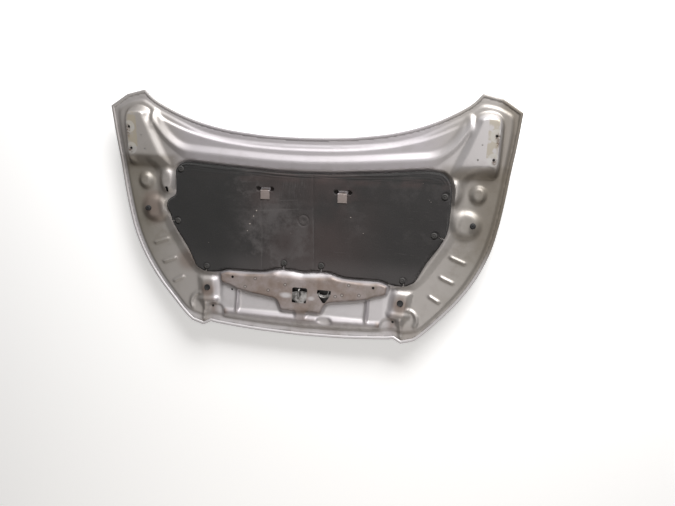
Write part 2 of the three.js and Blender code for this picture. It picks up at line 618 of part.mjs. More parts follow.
// Wire along a smooth path
const wire = (points, radius, steps) => {
  const section = new THREE.Shape().absarc(0, 0, radius, 0, 2 * Math.PI);
  const path = new THREE.CatmullRomCurve3(points.map((p) => new THREE.Vector3(...p)));
  return fromGeometry(new THREE.ExtrudeGeometry(section, { steps, curveSegments: 4, extrudePath: path }));
};
const halfSpan = strikerSpan / 2;
const strikerHalf = [[1, 0], [1, 0.6], [0.8, 0.92]]
  .map(([across, up]) => [across * halfSpan, up * strikerRise]);
const striker = wire([
  ...strikerHalf.map(([across, up]) => [0, -across, up]), [0, 0, strikerRise],
  ...strikerHalf.map(([across, up]) => [0, across, up]).reverse(),
], strikerWire, 12);
const bracketTop = bracketBottom + bracketSheet;
const catchHeight = bracketTop + seatGap + catchWire;
const catchHook = wire(catchPath.map(at).map(([x, y]) => [x, y, crown(x, y) + catchHeight]), catchWire, 12);

// Rubber buffer, and plug of a front corner hole
const seatUnder = -(panelSheet + 2 * fitGap);
const stem = (radius, tip, flare) => [[0, tip], [radius - barb, tip], [radius + flare, seatUnder - fitGap],
  [radius, seatUnder - fitGap], [radius, 0]];
const bufferBody = turned([...stem(bufferStemRadius, seatUnder - bufferStemLength, 2 * barb),
  [bufferRadius, 0], [bufferRadius, bufferHeight * 0.35], [bufferRadius * 0.8, bufferHeight * 0.45],
  [bufferRadius * 0.9, bufferHeight * 0.9], [bufferRadius * 0.7, bufferHeight], [0, bufferHeight]]);
const plugBody = turned([...stem(plugStemRadius, seatUnder - plugStemLength, barb), [plugRadius, 0],
  [plugRadius, plugHeight / 2], [plugRadius - plugHeight / 2, plugHeight], [0, plugHeight]]);
const masticDab = rod(masticRadius, 0, trayHeight - panelSheet - skinSheet - seatGap - 2 * fitGap, 12);

// The whole bonnet
const bonnet = new THREE.Group();
const add = (name, body, material) => bonnet.add(toMesh(name, body, material));
add('outer_skin', outerSkin, paint);
add('inner_panel', innerPanel, paint);
add('insulation_pad', pad, felt);
for (const [place, seat] of Object.entries(clipSeats)) {
  add(`clip_${place}`, placed(clipBody, standing(at(seat), padFace + seatGap)), plastic);
}
for (const [side, seat] of Object.entries(hookSeats)) {
  add(`pad_hook_${side}`, placed(hookBody, standing(at(seat), trayHeight)), paint);
}
for (const [side, sign] of [['right', 1], ['left', -1]]) {
  add(`hinge_reinforcement_${side}`, hingePlateBody(sign), steel);
  hingeBolts.forEach((seat, i) => {
    add(`hinge_nut_${side}_${i + 1}`, placed(nut, squareToHinge(sign, seat, plateUnder + fitGap)), steel);
  });
}
add('latch_reinforcement', latchReinforcement, steel);
add('striker_bracket', plate(strikerBracketLoop, bracketBottom, bracketSheet), steel);
add('striker', placed(striker, standing(at(strikerSeat), bracketTop + seatGap)), steel);
add('catch_bracket', plate(catchBracketLoop, bracketBottom, bracketSheet), steel);
add('safety_catch', catchHook, steel);
for (const [side, seat] of twoSides([bufferSeat])) {
  add(`side_buffer_${side}`, placed(bufferBody, onPanel(seat, seatGap)), rubber);
}
for (const [side, seat] of twoSides([plugSeat])) {
  add(`corner_plug_${side}`, placed(plugBody, onPanel(seat, seatGap)), rubber);
}
masticSeats.forEach((seat, i) => {
  add(`mastic_dab_${i + 1}`, placed(masticDab, standing(at(seat), skinSheet + seatGap + fitGap)), mastic);
});

export default bonnet;
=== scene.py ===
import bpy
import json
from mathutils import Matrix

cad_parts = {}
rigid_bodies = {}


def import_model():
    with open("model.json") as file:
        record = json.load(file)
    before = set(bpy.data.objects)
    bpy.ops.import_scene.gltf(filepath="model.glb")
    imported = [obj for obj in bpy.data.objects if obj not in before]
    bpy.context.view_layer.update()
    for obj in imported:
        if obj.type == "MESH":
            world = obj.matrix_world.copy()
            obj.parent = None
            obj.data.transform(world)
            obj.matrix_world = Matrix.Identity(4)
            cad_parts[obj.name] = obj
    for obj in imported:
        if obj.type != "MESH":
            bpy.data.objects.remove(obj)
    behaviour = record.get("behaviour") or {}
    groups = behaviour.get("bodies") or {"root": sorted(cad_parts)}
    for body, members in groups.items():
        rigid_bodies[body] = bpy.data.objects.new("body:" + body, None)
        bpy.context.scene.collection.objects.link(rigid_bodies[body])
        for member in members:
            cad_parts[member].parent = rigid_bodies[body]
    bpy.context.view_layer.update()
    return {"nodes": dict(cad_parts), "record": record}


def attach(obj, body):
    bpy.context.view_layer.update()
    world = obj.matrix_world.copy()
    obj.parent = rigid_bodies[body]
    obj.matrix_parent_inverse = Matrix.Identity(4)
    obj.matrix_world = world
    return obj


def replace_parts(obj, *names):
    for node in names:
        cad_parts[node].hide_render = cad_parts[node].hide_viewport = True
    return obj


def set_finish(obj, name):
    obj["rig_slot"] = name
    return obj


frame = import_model()

import json
import math

import bpy
import numpy as np
from mathutils import Matrix, Vector
from mathutils.geometry import delaunay_2d_cdt

mm = 0.001
planMiddle = 23.75  # drawn Y of the bonnet's middle; plan points below are millimetres in that drawing


# Camera, at the photograph's angle
view = {
    "place": (453.1, 246.5, 1818.2),
    "right": (0.9821, 0.0348, -0.1851),
    "up": (-0.0681, 0.9819, -0.1765),
    "back": (0.1756, 0.1860, 0.9667),
    "focalPixels": 505, "imageWidth": 675, "sensor": 36,
}


def addObject(name, data):
    made = bpy.data.objects.new(name, data)
    bpy.context.collection.objects.link(made)
    return made


def makeCamera():
    data = bpy.data.cameras.new("camera")
    data.sensor_width = view["sensor"]
    data.lens = view["focalPixels"] / view["imageWidth"] * view["sensor"]
    camera = addObject("camera", data)
    x, y, z = view["place"]
    turn = Matrix((view["right"], view["up"], view["back"])).transposed()
    camera.matrix_world = Matrix.Translation((x * mm, (y - planMiddle) * mm, z * mm)) @ turn.to_4x4()
    bpy.context.scene.camera = camera


makeCamera()
print("camera in place")


# Form of the skin and of the panel pressed over it, close to the frame's solids
skinForm = {"halfWidth": 720, "halfLength": 439.75, "side": 70, "rear": 21.8, "front": 66.8, "sheet": 0.8}
hem = {"top": 3.0, "return": 10, "band": 15, "gap": 0.3}
levels = {
    "flange": 2.6, "rail": 8, "lens": 15, "ridge": 28, "ridgeFall": 6, "crest": 16, "tray": 14, "hinge": 37,
    "beam": 25, "plateau": 31, "recess": 13, "pocket": 15, "corner": 20.5, "fixingPad": 9, "tongue": 24,
    "scallop": 15,
}
panel = {"sheet": 0.8, "fine": 3, "coarse": 2, "underPad": 8, "bend": 0.12, "bendShare": 0.13,
         "softening": (1, 4, 6, 4, 1), "creaseReach": 9, "creaseDepth": 2.5,
         "field": (246, 154), "grid": (242, 150), "rimMargin": 3.5, "padMargin": 12}


def crown(x, y):
    along = y / skinForm["halfLength"]
    rise = np.where(along > 0, skinForm["rear"], skinForm["front"])
    return skinForm["side"] * (x / skinForm["halfWidth"]) ** 2 + rise * along ** 2


def smoothLine(points, count):
    # A smooth line through the points, with count steps from each to the next
    p = np.array(points, float)
    p = np.vstack([p[:1], p, p[-1:]])
    t = np.linspace(0, 1, count, endpoint=False)[:, None]
    parts = []
    for a, b, c, d in zip(p, p[1:], p[2:], p[3:]):
        u, v = (c - a) / 2, (d - b) / 2
        parts.append((2 * b - 2 * c + u + v) * t ** 3 + (3 * c - 3 * b - 2 * u - v) * t ** 2 + u * t + b)
    return np.vstack(parts + [p[-1:]])


def spline(points, step):
    # The same line, resampled to even steps
    line = smoothLine(points, 24)
    run = np.concatenate([[0], np.cumsum(np.hypot(*np.diff(line, axis=0).T))])
    even = np.linspace(0, run[-1], max(2, round(run[-1] / step) + 1))
    return np.column_stack([np.interp(even, run, line[:, k]) for k in range(2)])


def rounded(points, wall, cut, closed, steps=4):
    # A line of points whose corners are turned into arcs; the third column is the width of the wall there
    p = np.array([(q[0], q[1], q[2] if len(q) > 2 else wall) for q in points], float)
    out = [] if closed else [p[0]]
    for i in range(0 if closed else 1, len(p) if closed else len(p) - 1):
        before, here, after = p[i - 1], p[i], p[(i + 1) % len(p)]
        ends = []
        for other, width in ((before, before[2]), (after, here[2])):
            length = np.hypot(*(other - here)[:2])
            end = here + (other - here) * min(cut, length / 2) / length
            ends.append(np.array([end[0], end[1], width]))
        here = np.array([here[0], here[1], (before[2] + here[2]) / 2])
        for t in np.linspace(0, 1, steps):
            out.append((1 - t) ** 2 * ends[0] + 2 * t * (1 - t) * here + t ** 2 * ends[1])
    if not closed:
        out.append((p[-1][0], p[-1][1], p[-2][2]))
    out = np.array(out)
    step = out - (np.roll(out, 1, 0) if closed else np.vstack([out[:1] + 1, out[:-1]]))
    return out[np.hypot(step[:, 0], step[:, 1]) > 1e-6]


def inset(loop, depth):
    before, after = np.roll(loop, 1, 0) - loop, np.roll(loop, -1, 0) - loop
    n1 = np.column_stack([before[:, 1], -before[:, 0]]) / np.hypot(*before.T)[:, None]
    n2 = np.column_stack([-after[:, 1], after[:, 0]]) / np.hypot(*after.T)[:, None]
    spread = np.maximum(0.35, (1 + (n1 * n2).sum(1)) / 2)[:, None]
    return loop + depth * (n1 + n2) / (2 * spread)


def bothHalves(half):
    return np.vstack([half, (half[1:-1] * (-1, 1))[::-1]])


rim = {
    "pieces": [
        [[0, -416], [160, -411], [303, -398.5], [350, -391]],
        [[350, -391], [378, -404.5]],
        [[378, -404.5], [424, -390]],
        [[424, -390], [450, -369], [492, -326], [567, -239], [624, -148], [661, -56], [681, 36], [693, 126],
         [702, 216], [712, 303], [720, 404]],
        [[720, 404], [658, 446]],
        [[658, 446], [594, 463.5]],
        [[594, 463.5], [555, 426], [475, 384], [392, 354], [308, 334], [220, 322], [132, 314.5], [0, 311]],
    ],
    "step": 7,
}


def rimLoop():
    lines = [spline(piece, rim["step"]) for piece in rim["pieces"]]
    return bothHalves(np.vstack([lines[0]] + [line[1:] for line in lines[1:]]))


outline = rimLoop()

# Terraces of the panel, right half: outline, width of the wall, height of the floor, how far corners round
ridgeLine = np.array([[0, 225], [200, 230], [400, 243], [450, 250], [480, 265],
                      [505, 285], [530, 310], [560, 350]])


def ridgeSurface(x, y):
    width = np.interp(np.abs(x), (410, 480), (45, 25))
    fall = np.clip((np.interp(np.abs(x), *ridgeLine.T) - y) / width, 0, 1)
    t = np.clip((y - 158) / 42, 0, 1)
    rear = levels["ridge"] - levels["ridgeFall"] * fall
    return levels["crest"] + (rear - levels["crest"]) * t * t * (3 - 2 * t)


hingeMiddle = (615, 315)
hingeSlope = (2 * skinForm["side"] * hingeMiddle[0] / skinForm["halfWidth"] ** 2,
              2 * skinForm["rear"] * hingeMiddle[1] / skinForm["halfLength"] ** 2)


def hingeSurface(x, y):
    plane = (float(crown(np.array(hingeMiddle[0]), np.array(hingeMiddle[1]))) + levels["hinge"]
             + hingeSlope[0] * (np.abs(x) - hingeMiddle[0]) + hingeSlope[1] * (y - hingeMiddle[1]))
    return plane - crown(x, y)


padCorner = [[0, -178], [50, -173], [100, -172], [145, -185], [200, -188], [290, -185], [330, -199],
             [380, -200], [415, -182], [450, -110], [490, -50], [510, -12], [518, 20]]
padRight = padCorner + [[521, 100], [521, 150], [512, 182], [490, 205], [440, 212], [300, 200], [100, 187]]
padLeft = padCorner + [[529, 35], [529, 60], [515, 75], [492, 88], [491, 182], [470, 206], [440, 212],
                       [300, 200], [100, 187]]
padLoop = padRight + [[0, 186]] + [[-x, y] for x, y in padLeft[:0:-1]]
plateauRear = [[x, y - 1, max(10, y + 202)] for x, y in padCorner[6::-1]]
terraces = [
    ([[0, -386, 9], [150, -382, 9], [290, -372, 9], [330, -363, 9], [360, -363, 9], [380, -370, 9],
      [402, -366, 9], [438, -357, 8], [479, -315, 8], [553, -229, 8], [609, -140, 8],
      [645, -51, 8], [664, 39, 8], [676, 128, 8], [685, 218, 8], [695, 305, 8], [699, 385],
      [690, 402], [665, 415], [645, 425], [605, 433], [588, 430], [550, 400], [500, 375], [450, 350],
      [400, 328], [350, 315], [300, 305], [200, 295], [100, 290], [0, 289]], 12, "rail", 60),
    ([[0, 200], [470, 200], [540, 300], [554, 386, 10], [540, 378], [520, 362], [450, 331], [400, 315],
      [350, 303], [300, 293], [200, 281], [100, 275], [0, 274]], 10, "lens", 30),
    ([[0, -215, 24], [330, -215, 24], [405, -222, 34], [440, -196, 34], [480, -141, 34], [520, -76, 34],
      [548, -21, 34], [562, 24, 34], [568, 120, 34], [572, 190, 24], [600, 200], [600, 330], [590, 385],
      [565, 404], [548, 396], [535, 372], [520, 345], [500, 316], [470, 290], [440, 279], [400, 276],
      [300, 268], [200, 260], [100, 254], [0, 252]],
     30, ridgeSurface, 40),
    ([[500, 188, 46], [650, 188, 16], [664, 207, 8], [666, 380, 16], [650, 402, 26], [622, 412, 28],
      [594, 408, 26], [572, 392, 24], [573, 372, 22], [548, 300, 22]], 12, hingeSurface, 24),
    ([[304, -350, 26], [365, -356], [402, -326], [412, -240], [418, -212, 20], [326, -210]],
     26, "corner", 30),
    ([[0, -387, 36], [150, -383, 36], [290, -373, 30], [306, -368, 20], [312, -340, 12], [310, -232],
      [0, -230]], 12, "beam", 20),
    ([[17, -353, 23], [245, -351, 7], [250, -235], [17, -235]], 8, "recess", 10),
    ([[248, -350, 18], [328, -346, 14], [334, -318, 26], [334, -216, 22], [248, -216]], 8, "pocket", 16),
    ([[296, -356], [298, -334], [312, -320], [334, -314], [362, -316], [364, -356]], 8, "fixingPad", 8),
    ([[-16, -354], [16, -354], [16, -312], [-16, -312]], 5, "tongue", 5),
    ([[56, -352], [74, -366], [106, -368], [126, -354], [112, -338], [70, -337]], 7, "scallop", 8),
    ([[0, -335, 18], [74, -335, 16], [86, -327, 14], [93, -305, 12], [101, -288], [150, -280], [200, -273],
      [250, -262], [280, -248], [315, -241], [324, -222, 14]] + plateauRear, 8, "plateau", 16),
]
domes = [(606, 138, 31, 36, 13), (522, 140, 35, 56, 15), (574, 34, 60, 59, 14)]
beads = [
    ([(533, -82), (580, -99)], 7, 7.5), ([(503, -155), (545, -171)], 7, 7.5),
    ([(470, -227), (502, -243)], 7, 7.5),
    ([(396, -282), (410, -286), (421, -294), (428, -305), (430, -321), (424, -338)], 9, 7),
    ([(371, -320), (377, -382)], 9, 8), ([(330, -302), (398, -304)], 16, 5),
]
oneSided = ("scallop",)
trayEdge = {"clearance": 0.6, "wall": 10}


def wallRise(t, bend):
    # From 0 at a wall's foot to 1 at its top, straight in the middle and bent at both ends
    t = np.clip(t, 0, 1)
    slope = 1 / (1 - bend)
    rise = slope * (t - bend / 2)
    rise = np.where(t < bend, slope * t * t / (2 * bend), rise)
    return np.where(t > 1 - bend, 1 - slope * (1 - t) ** 2 / (2 * bend), rise)


def insideLoop(loop, x, y):
    # Which points a loop holds; each side is tried only against the points in its own band of y
    inside = np.zeros(len(x), bool)
    order = np.argsort(y)
    sortedY = y[order]
    for (ax, ay), (bx, by) in zip(loop, np.roll(loop, -1, 0)):
        low, high = np.searchsorted(sortedY, (min(ay, by), max(ay, by)))
        rows = order[low:high]
        if low < high:
            inside[rows] ^= x[rows] < ax + (y[rows] - ay) * (bx - ax) / (by - ay)
    return inside


def share(line, closed, x, y):
    # How far up a terrace's wall each point is; only points near a side are measured against it
    nearest = np.full(len(x), np.inf)
    order = np.argsort(y)
    sortedY = y[order]
    for (ax, ay, aw), (bx, by, bw) in zip(line, np.roll(line, -1, 0) if closed else line[1:]):
        wall = max(aw, bw)
        low, high = np.searchsorted(sortedY, (min(ay, by) - wall, max(ay, by) + wall))
        rows = order[low:high]
        rows = rows[(x[rows] > min(ax, bx) - wall) & (x[rows] < max(ax, bx) + wall)]
        length = max((bx - ax) ** 2 + (by - ay) ** 2, 1e-9)
        t = np.clip(((x[rows] - ax) * (bx - ax) + (y[rows] - ay) * (by - ay)) / length, 0, 1)
        away = np.hypot(x[rows] - ax - t * (bx - ax), y[rows] - ay - t * (by - ay))
        nearest[rows] = np.minimum(nearest[rows], away / (aw + t * (bw - aw)))
    return np.where(insideLoop(line[:, :2], x, y), wallRise(nearest, panel["bendShare"]), 0)


roundedTerraces = []
for points, wall, height, cut in terraces:
    closed = points[0][0] != 0 or points[-1][0] != 0
    roundedTerraces.append((rounded(points, wall, cut, closed), closed, height))
padEdgeLoop = rounded(padLoop, 1, 12, True)[:, :2]
trayLoop = rounded(padLoop, 1, 12, True)
trayLoop[:, :2] = inset(trayLoop[:, :2], -(trayEdge["clearance"] + trayEdge["wall"]))
trayLoop[:, 2] = trayEdge["wall"]


def toLine(x, y, a, b):
    ux, uy = b[0] - a[0], b[1] - a[1]
    t = np.clip(((x - a[0]) * ux + (y - a[1]) * uy) / (ux * ux + uy * uy), 0, 1)
    return np.hypot(x - a[0] - t * ux, y - a[1] - t * uy)


def lattice(step, stepsX, stepsY):
    return np.meshgrid(np.arange(-stepsX, stepsX + 1) * step, np.arange(-stepsY, stepsY + 1) * step)


def patch(step, stepsX, stepsY, middle=(0, 0)):
    x, y = lattice(step, stepsX, stepsY)
    return np.column_stack([x.ravel() + middle[0], y.ravel() + middle[1]])


def drawnRelief(x, y):
    # Terraces, domes and beads as drawn, without the radii of the press
    h = np.full(len(x), float(levels["flange"]))
    ax = np.abs(x)
    for line, closed, height in roundedTerraces:
        floor = height(ax, y) if callable(height) else levels[height]
        side = x if height in oneSided else ax
        h += (floor - h) * share(line, closed, side, y)
    for cx, cy, rx, ry, rise in domes:
        h += rise * wallRise((1 - np.hypot((ax - cx) / rx, (y - cy) / ry)) / 0.56, 0.42)
    for line, half, rise in beads:
        away = np.min([toLine(ax, y, a, b) for a, b in zip(line, line[1:])], 0)
        h += rise * wallRise(1 - away / half, 0.45)
    return h


def softField():
    # The drawn form on a lattice, with every bend given the soft radius of pressed sheet
    x, y = lattice(panel["fine"], *panel["field"])
    h = drawnRelief(x.ravel(), y.ravel() + planMiddle).reshape(x.shape)
    weights = panel["softening"]
    for axis in (0, 1):
        h = sum(w * np.roll(h, k - 2, axis) for k, w in enumerate(weights)) / sum(weights)
    return h


def relief(x, y):
    # Height of the panel's visible face over the outside of the skin, tray included
    rows, columns = soft.shape
    u = x / panel["fine"] + columns // 2
    v = (y - planMiddle) / panel["fine"] + rows // 2
    i, j = np.floor(u).astype(int), np.floor(v).astype(int)
    u, v = u - i, v - j
    h = ((1 - v) * ((1 - u) * soft[j, i] + u * soft[j, i + 1])
         + v * ((1 - u) * soft[j + 1, i] + u * soft[j + 1, i + 1]))
    return h + (levels["tray"] - h) * share(trayLoop, True, x, y)


soft = softField()


# Meshes
def makeObject(name, vertices, faces, slot, smoothAngle=35):
    mesh = bpy.data.meshes.new(name)
    mesh.from_pydata([tuple(v) for v in vertices], [], [tuple(int(i) for i in f) for f in faces])
    mesh.polygons.foreach_set("use_smooth", [True] * len(mesh.polygons))
    mesh.set_sharp_from_angle(angle=math.radians(smoothAngle))
    piece = addObject(name, mesh)
    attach(piece, "root")
    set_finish(piece, slot)
    return piece


def mark(piece, name, values):
    # One number at each point, which the paint reads
    piece.data.attributes.new(name, "FLOAT", "POINT").data.foreach_set("value", np.array(values, np.float32))


def bandFaces(rings, count, start=0):
    # Quads between closed rings of count points, which are numbered one after another
    faces = []
    for k in range(rings - 1):
        for i in range(count):
            p, q = start + k * count + i, start + k * count + (i + 1) % count
            faces.append((p, q, q + count, p + count))
    return faces


def facedUp(plan, faces):
    a, b, c = plan[faces[:, 0]], plan[faces[:, 1]], plan[faces[:, 2]]
    turn = (b - a)[:, 0] * (c - a)[:, 1] - (b - a)[:, 1] * (c - a)[:, 0]
    return np.where(turn[:, None] > 0, faces, faces[:, ::-1])


def cutSheet(edge, holes, points):
    # Plan triangles inside the edge and outside the holes
    loops = [edge] + list(holes)
    vertices = [Vector(p) for loop in loops for p in loop.tolist()] + [Vector(p) for p in points.tolist()]
    edges, start = [], 0
    for loop in loops:
        edges += [(start + i, start + (i + 1) % len(loop)) for i in range(len(loop))]
        start += len(loop)
    found = delaunay_2d_cdt(vertices, edges, [], 0, 1e-5)
    plan = np.array([tuple(v) for v in found[0]])
    faces = np.array(found[2])
    middle = plan[faces].mean(1)
    keep = insideLoop(edge, *middle.T)
    for hole in holes:
        keep &= ~insideLoop(hole, *middle.T)
    faces = faces[keep]
    used = np.unique(faces)
    number = np.full(len(plan), -1)
    number[used] = np.arange(len(used))
    return plan[used], number[faces]


def sheetSolid(name, plan, faces, bottom, top, slot):
    # A closed sheet: the top and bottom heights over one plan, joined round every edge
    n = len(plan)
    where = np.column_stack([plan[:, 0] * mm, (plan[:, 1] - planMiddle) * mm])
    vertices = np.vstack([np.column_stack([where, bottom * mm]), np.column_stack([where, top * mm])])
    faces = facedUp(plan, faces)
    directed = np.vstack([faces[:, [0, 1]], faces[:, [1, 2]], faces[:, [2, 0]]])
    keys = set(map(tuple, directed.tolist()))
    walls = [(p, q, q + n, p + n) for p, q in keys if (q, p) not in keys]
    allFaces = (faces[:, ::-1]).tolist() + (faces + n).tolist() + sorted(walls)
    return makeObject(name, vertices, allFaces, slot)


def circle(x, y, radius, count=20):
    angle = np.linspace(0, 2 * math.pi, count, endpoint=False)
    return np.column_stack([x + radius * np.cos(angle), y + radius * np.sin(angle)])


# Places of holes and fittings
hingeBolts = [(644, 330.5), (641.3, 254.6)]
bufferSeat = (600, 34.5)
plugSeat = (370, -262.7)
clipSeats = {
    "front_right": (374, -180), "front_left": (-374, -180), "middle_right": (70, -152),
    "middle_left": (-74, -152), "side_right": (474, -9), "side_left": (-487, -9), "rear_right": (501, 128),
    "rear_left": (-470, 186),
}
hookSeats = {"right": (140, 127), "left": (-151, 127)}
strikerSeat = (-6, -263)
strikerOpening = [[-33, -291], [21, -291], [23, -240], [19, -235], [-31, -235], [-35, -240]]
catchOpening = [[60, -252], [84, -284], [92, -284], [112, -254], [113, -237], [61, -237]]
staySlot = [[-527, 98], [-519, 98], [-518, 118], [-528, 118]]
smallHoles = [(268, -212, 5), (-268, -212, 5), (-273, -263, 3.5), (345, -330.3, 4.5), (-345, -330.3, 4.5),
              (602.5, 301.9, 3), (-602.5, 301.9, 3), (592.6, 253.4, 3.5), (-592.6, 253.4, 3.5)]
fit = {"bolt": 4.6, "buffer": 4.8, "plug": 8.3, "clip": 3.9}


def makePanel():
    x, y = lattice(panel["fine"], *panel["grid"])
    y = y + planMiddle
    h = relief(x.ravel(), y.ravel()).reshape(x.shape)
    bend = np.zeros_like(h)
    bend[1:-1, 1:-1] = np.abs(h[1:-1, 2:] + h[1:-1, :-2] + h[2:, 1:-1] + h[:-2, 1:-1] - 4 * h[1:-1, 1:-1])
    rows, columns = np.indices(x.shape)
    chosen = (rows % panel["coarse"] == 0) & (columns % panel["coarse"] == 0)
    chosen |= bend > panel["bend"]
    under = insideLoop(inset(padEdgeLoop, panel["padMargin"]), x.ravel(), y.ravel()).reshape(x.shape)
    sparse = (rows % panel["underPad"] == 0) & (columns % panel["underPad"] == 0)
    chosen = np.where(under, sparse, chosen)
    inner = inset(outline, hem["gap"] + skinForm["sheet"])
    points = np.column_stack([x[chosen], y[chosen]])
    points = points[insideLoop(inset(outline, panel["rimMargin"]), *points.T)]
    holes = []
    for kind, seats in (("bolt", hingeBolts), ("buffer", [bufferSeat]), ("plug", [plugSeat])):
        holes += [circle(sx * a, b, fit[kind]) for sx in (1, -1) for a, b in seats]
    holes += [circle(a, b, fit["clip"], 12) for a, b in clipSeats.values()]
    holes += [circle(a, b, r, 16) for a, b, r in smallHoles]
    holes += [rounded(loop, 1, 4, True)[:, :2] for loop in (strikerOpening, catchOpening)]
    holes.append(rounded(staySlot, 1, 3, True)[:, :2])
    plan, faces = cutSheet(inner, holes, points)
    top = crown(*plan.T) + relief(*plan.T)
    edge = ~insideLoop(inset(outline, hem["return"] + 3), *plan.T)
    top[edge] = (crown(*plan.T) + skinForm["sheet"] + hem["gap"] + panel["sheet"])[edge]
    piece = sheetSolid("inner_panel_pressing", plan, faces, top - panel["sheet"], top, "body_paint")
    rise = relief(*plan.T)
    # Concavity at each point, from the relief around it; the paint lays dust and painted shade in these
    # creases
    reach = panel["creaseReach"]
    around = sum(relief(plan[:, 0] + dx, plan[:, 1] + dy) for dx, dy in
                 ((reach, 0), (-reach, 0), (0, reach), (0, -reach))) / 4
    mark(piece, "rise", np.tile(rise, 2))
    mark(piece, "hollow", np.tile(np.clip((around - rise) / panel["creaseDepth"], 0, 1), 2))
    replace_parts(piece, "inner_panel")
    return piece


innerPanel = makePanel()
print("inner panel:", len(innerPanel.data.polygons), "faces")


def makeSkin():
    sheet, top = skinForm["sheet"], hem["top"]
    fold = [(sheet * (1 - math.sin(a)) * 0.9, sheet * (1 - math.cos(a)) * 0.9)
            for a in np.linspace(0, math.pi / 2, 4)]
    section = [(hem["band"], 0)] + fold + [(d, top - z) for d, z in reversed(fold)]
    section += [(3, top + 0.9), (5.5, top + 1.3), (8, top + 0.8), (hem["return"], top - 0.1),
                (hem["return"] + 0.3, top - sheet / 2), (hem["return"], top - sheet),
                (sheet, top - sheet), (sheet, sheet), (hem["band"], sheet)]
    rings = []
    for depth, z in section:
        ring = inset(outline, depth)
        rings.append(np.column_stack([ring, crown(*ring.T) + z]))
    n = len(outline)
    band = rings[0][:, :2]
    points = patch(16, 46, 29)
    points = points[insideLoop(inset(outline, hem["band"] + 8), *points.T)]
    found = delaunay_2d_cdt([Vector(p) for p in band.tolist() + points.tolist()],
                            [(i, (i + 1) % n) for i in range(n)], [], 0, 1e-6)
    plan, faces = np.array([tuple(v) for v in found[0]]), np.array(found[2])
    faces = facedUp(plan, faces[insideLoop(band, *plan[faces].mean(1).T)])
    extra = plan[n:]
    last = (len(section) - 1) * n
    lowStart, highStart = len(section) * n, len(section) * n + len(extra)
    vertices = np.vstack(rings + [np.column_stack([extra, crown(*extra.T)]),
                                  np.column_stack([extra, crown(*extra.T) + sheet])])
    vertices[:, 1] -= planMiddle
    allFaces = bandFaces(len(section), n)
    allFaces += np.where(faces < n, faces, faces + lowStart - n)[:, ::-1].tolist()
    allFaces += np.where(faces < n, faces + last, faces + highStart - n).tolist()
    piece = makeObject("outer_skin_hemmed", vertices * mm, allFaces, "body_paint")
    turnedBack = np.zeros(len(vertices))
    turnedBack[5 * n:13 * n] = 1
    mark(piece, "fold", turnedBack)
    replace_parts(piece, "outer_skin")
    return piece


outerSkin = makeSkin()
print("outer skin:", len(outerSkin.data.polygons), "faces")

# Insulation pad: a moulded fibre mat with a pressed rim, creases and notches at its clips
pad = {
    "seat": 14.6, "thickness": 13, "rim": 5, "rimWidth": 3, "bevel": 4.5, "step": 5,
    "notchWidth": 2.8, "slot": (18, -9, 2.5), "pocket": (24, 9.5, 11), "dimple": (18, 2.6),
    "ring": (-3.4, 14.3), "folds": [(7, 2.5, 2.2), (14.5, 3, 1.8), (22, 2.5, 0.9)],
    "notches": [((70, -158), (68, -178)), ((-74, -158), (-78, -178)), ((374, -186), (376, -206)),
                ((-374, -186), (-380, -206)), ((482, -13), (516, -24)), ((-494, -11), (-524, -13))],
    "seams": [((-165, 84), (-161, -174), 2.0, 3.6), ((29, 186), (39, -166), 2.2, 3.6),
              ((-265, 44), (24, 58), 0.7, 6), ((-330, 96), (300, 84), 0.6, 12),
              ((-60, 30), (-20, 185), 0.4, 14), ((260, 190), (255, 60), 0.5, 9)],
}


def padTop(x, y):
    away = np.full(len(x), np.inf)
    for a, b in zip(padEdgeLoop, np.roll(padEdgeLoop, -1, 0)):
        away = np.minimum(away, toLine(x, y, a, b))
    t = wallRise((away - pad["rimWidth"]) / pad["bevel"], 0.4)
    h = pad["rim"] + (pad["thickness"] - pad["rim"]) * t
    rear = wallRise((y - 150) / 25, 0.4)  # folds along the rear edge
    for distance, width, depth in pad["folds"]:
        line = distance + 1.6 * np.sin(x / 53 + distance)
        h -= rear * depth * np.exp(-((away - line) / width) ** 2)
    h -= 1.2 * np.exp(-(away / 2.5) ** 2)  # the cut edge is pinched
    waves = 0.7 * np.sin(x / 61 + 1.3) * np.sin(y / 47) + 0.4 * np.sin(x / 23 + y / 31)
    h += waves * t
    for a, b, depth, width in pad["seams"]:
        h -= depth * np.exp(-(toLine(x, y, a, b) / width) ** 2) * t
    ring = np.hypot(x - pad["ring"][0], y - pad["ring"][1])
    h -= 2.0 * np.exp(-((ring - 20) / 3) ** 2) + 2.4 * np.exp(-(ring / 7) ** 2)  # a ring round a hollow
    for cx, cy in clipSeats.values():
        r = np.hypot(x - cx, y - cy)
        h -= pad["dimple"][1] * t * (1 - wallRise((r - 10) / (pad["dimple"][0] - 10), 0.4))
    half, reach, deep = pad["pocket"]
    for cx, cy in hookSeats.values():
        middle = cy - 4
        r = toLine(x, y, (cx - half, middle), (cx + half, middle)) + 4
        r = np.minimum(r, np.hypot(np.abs(x - cx) - half, y - middle))
        h -= deep * (1 - wallRise((r - reach + 2) / 3, 0.3))
        h -= 1.2 * np.exp(-(r / 22) ** 2)
    return h


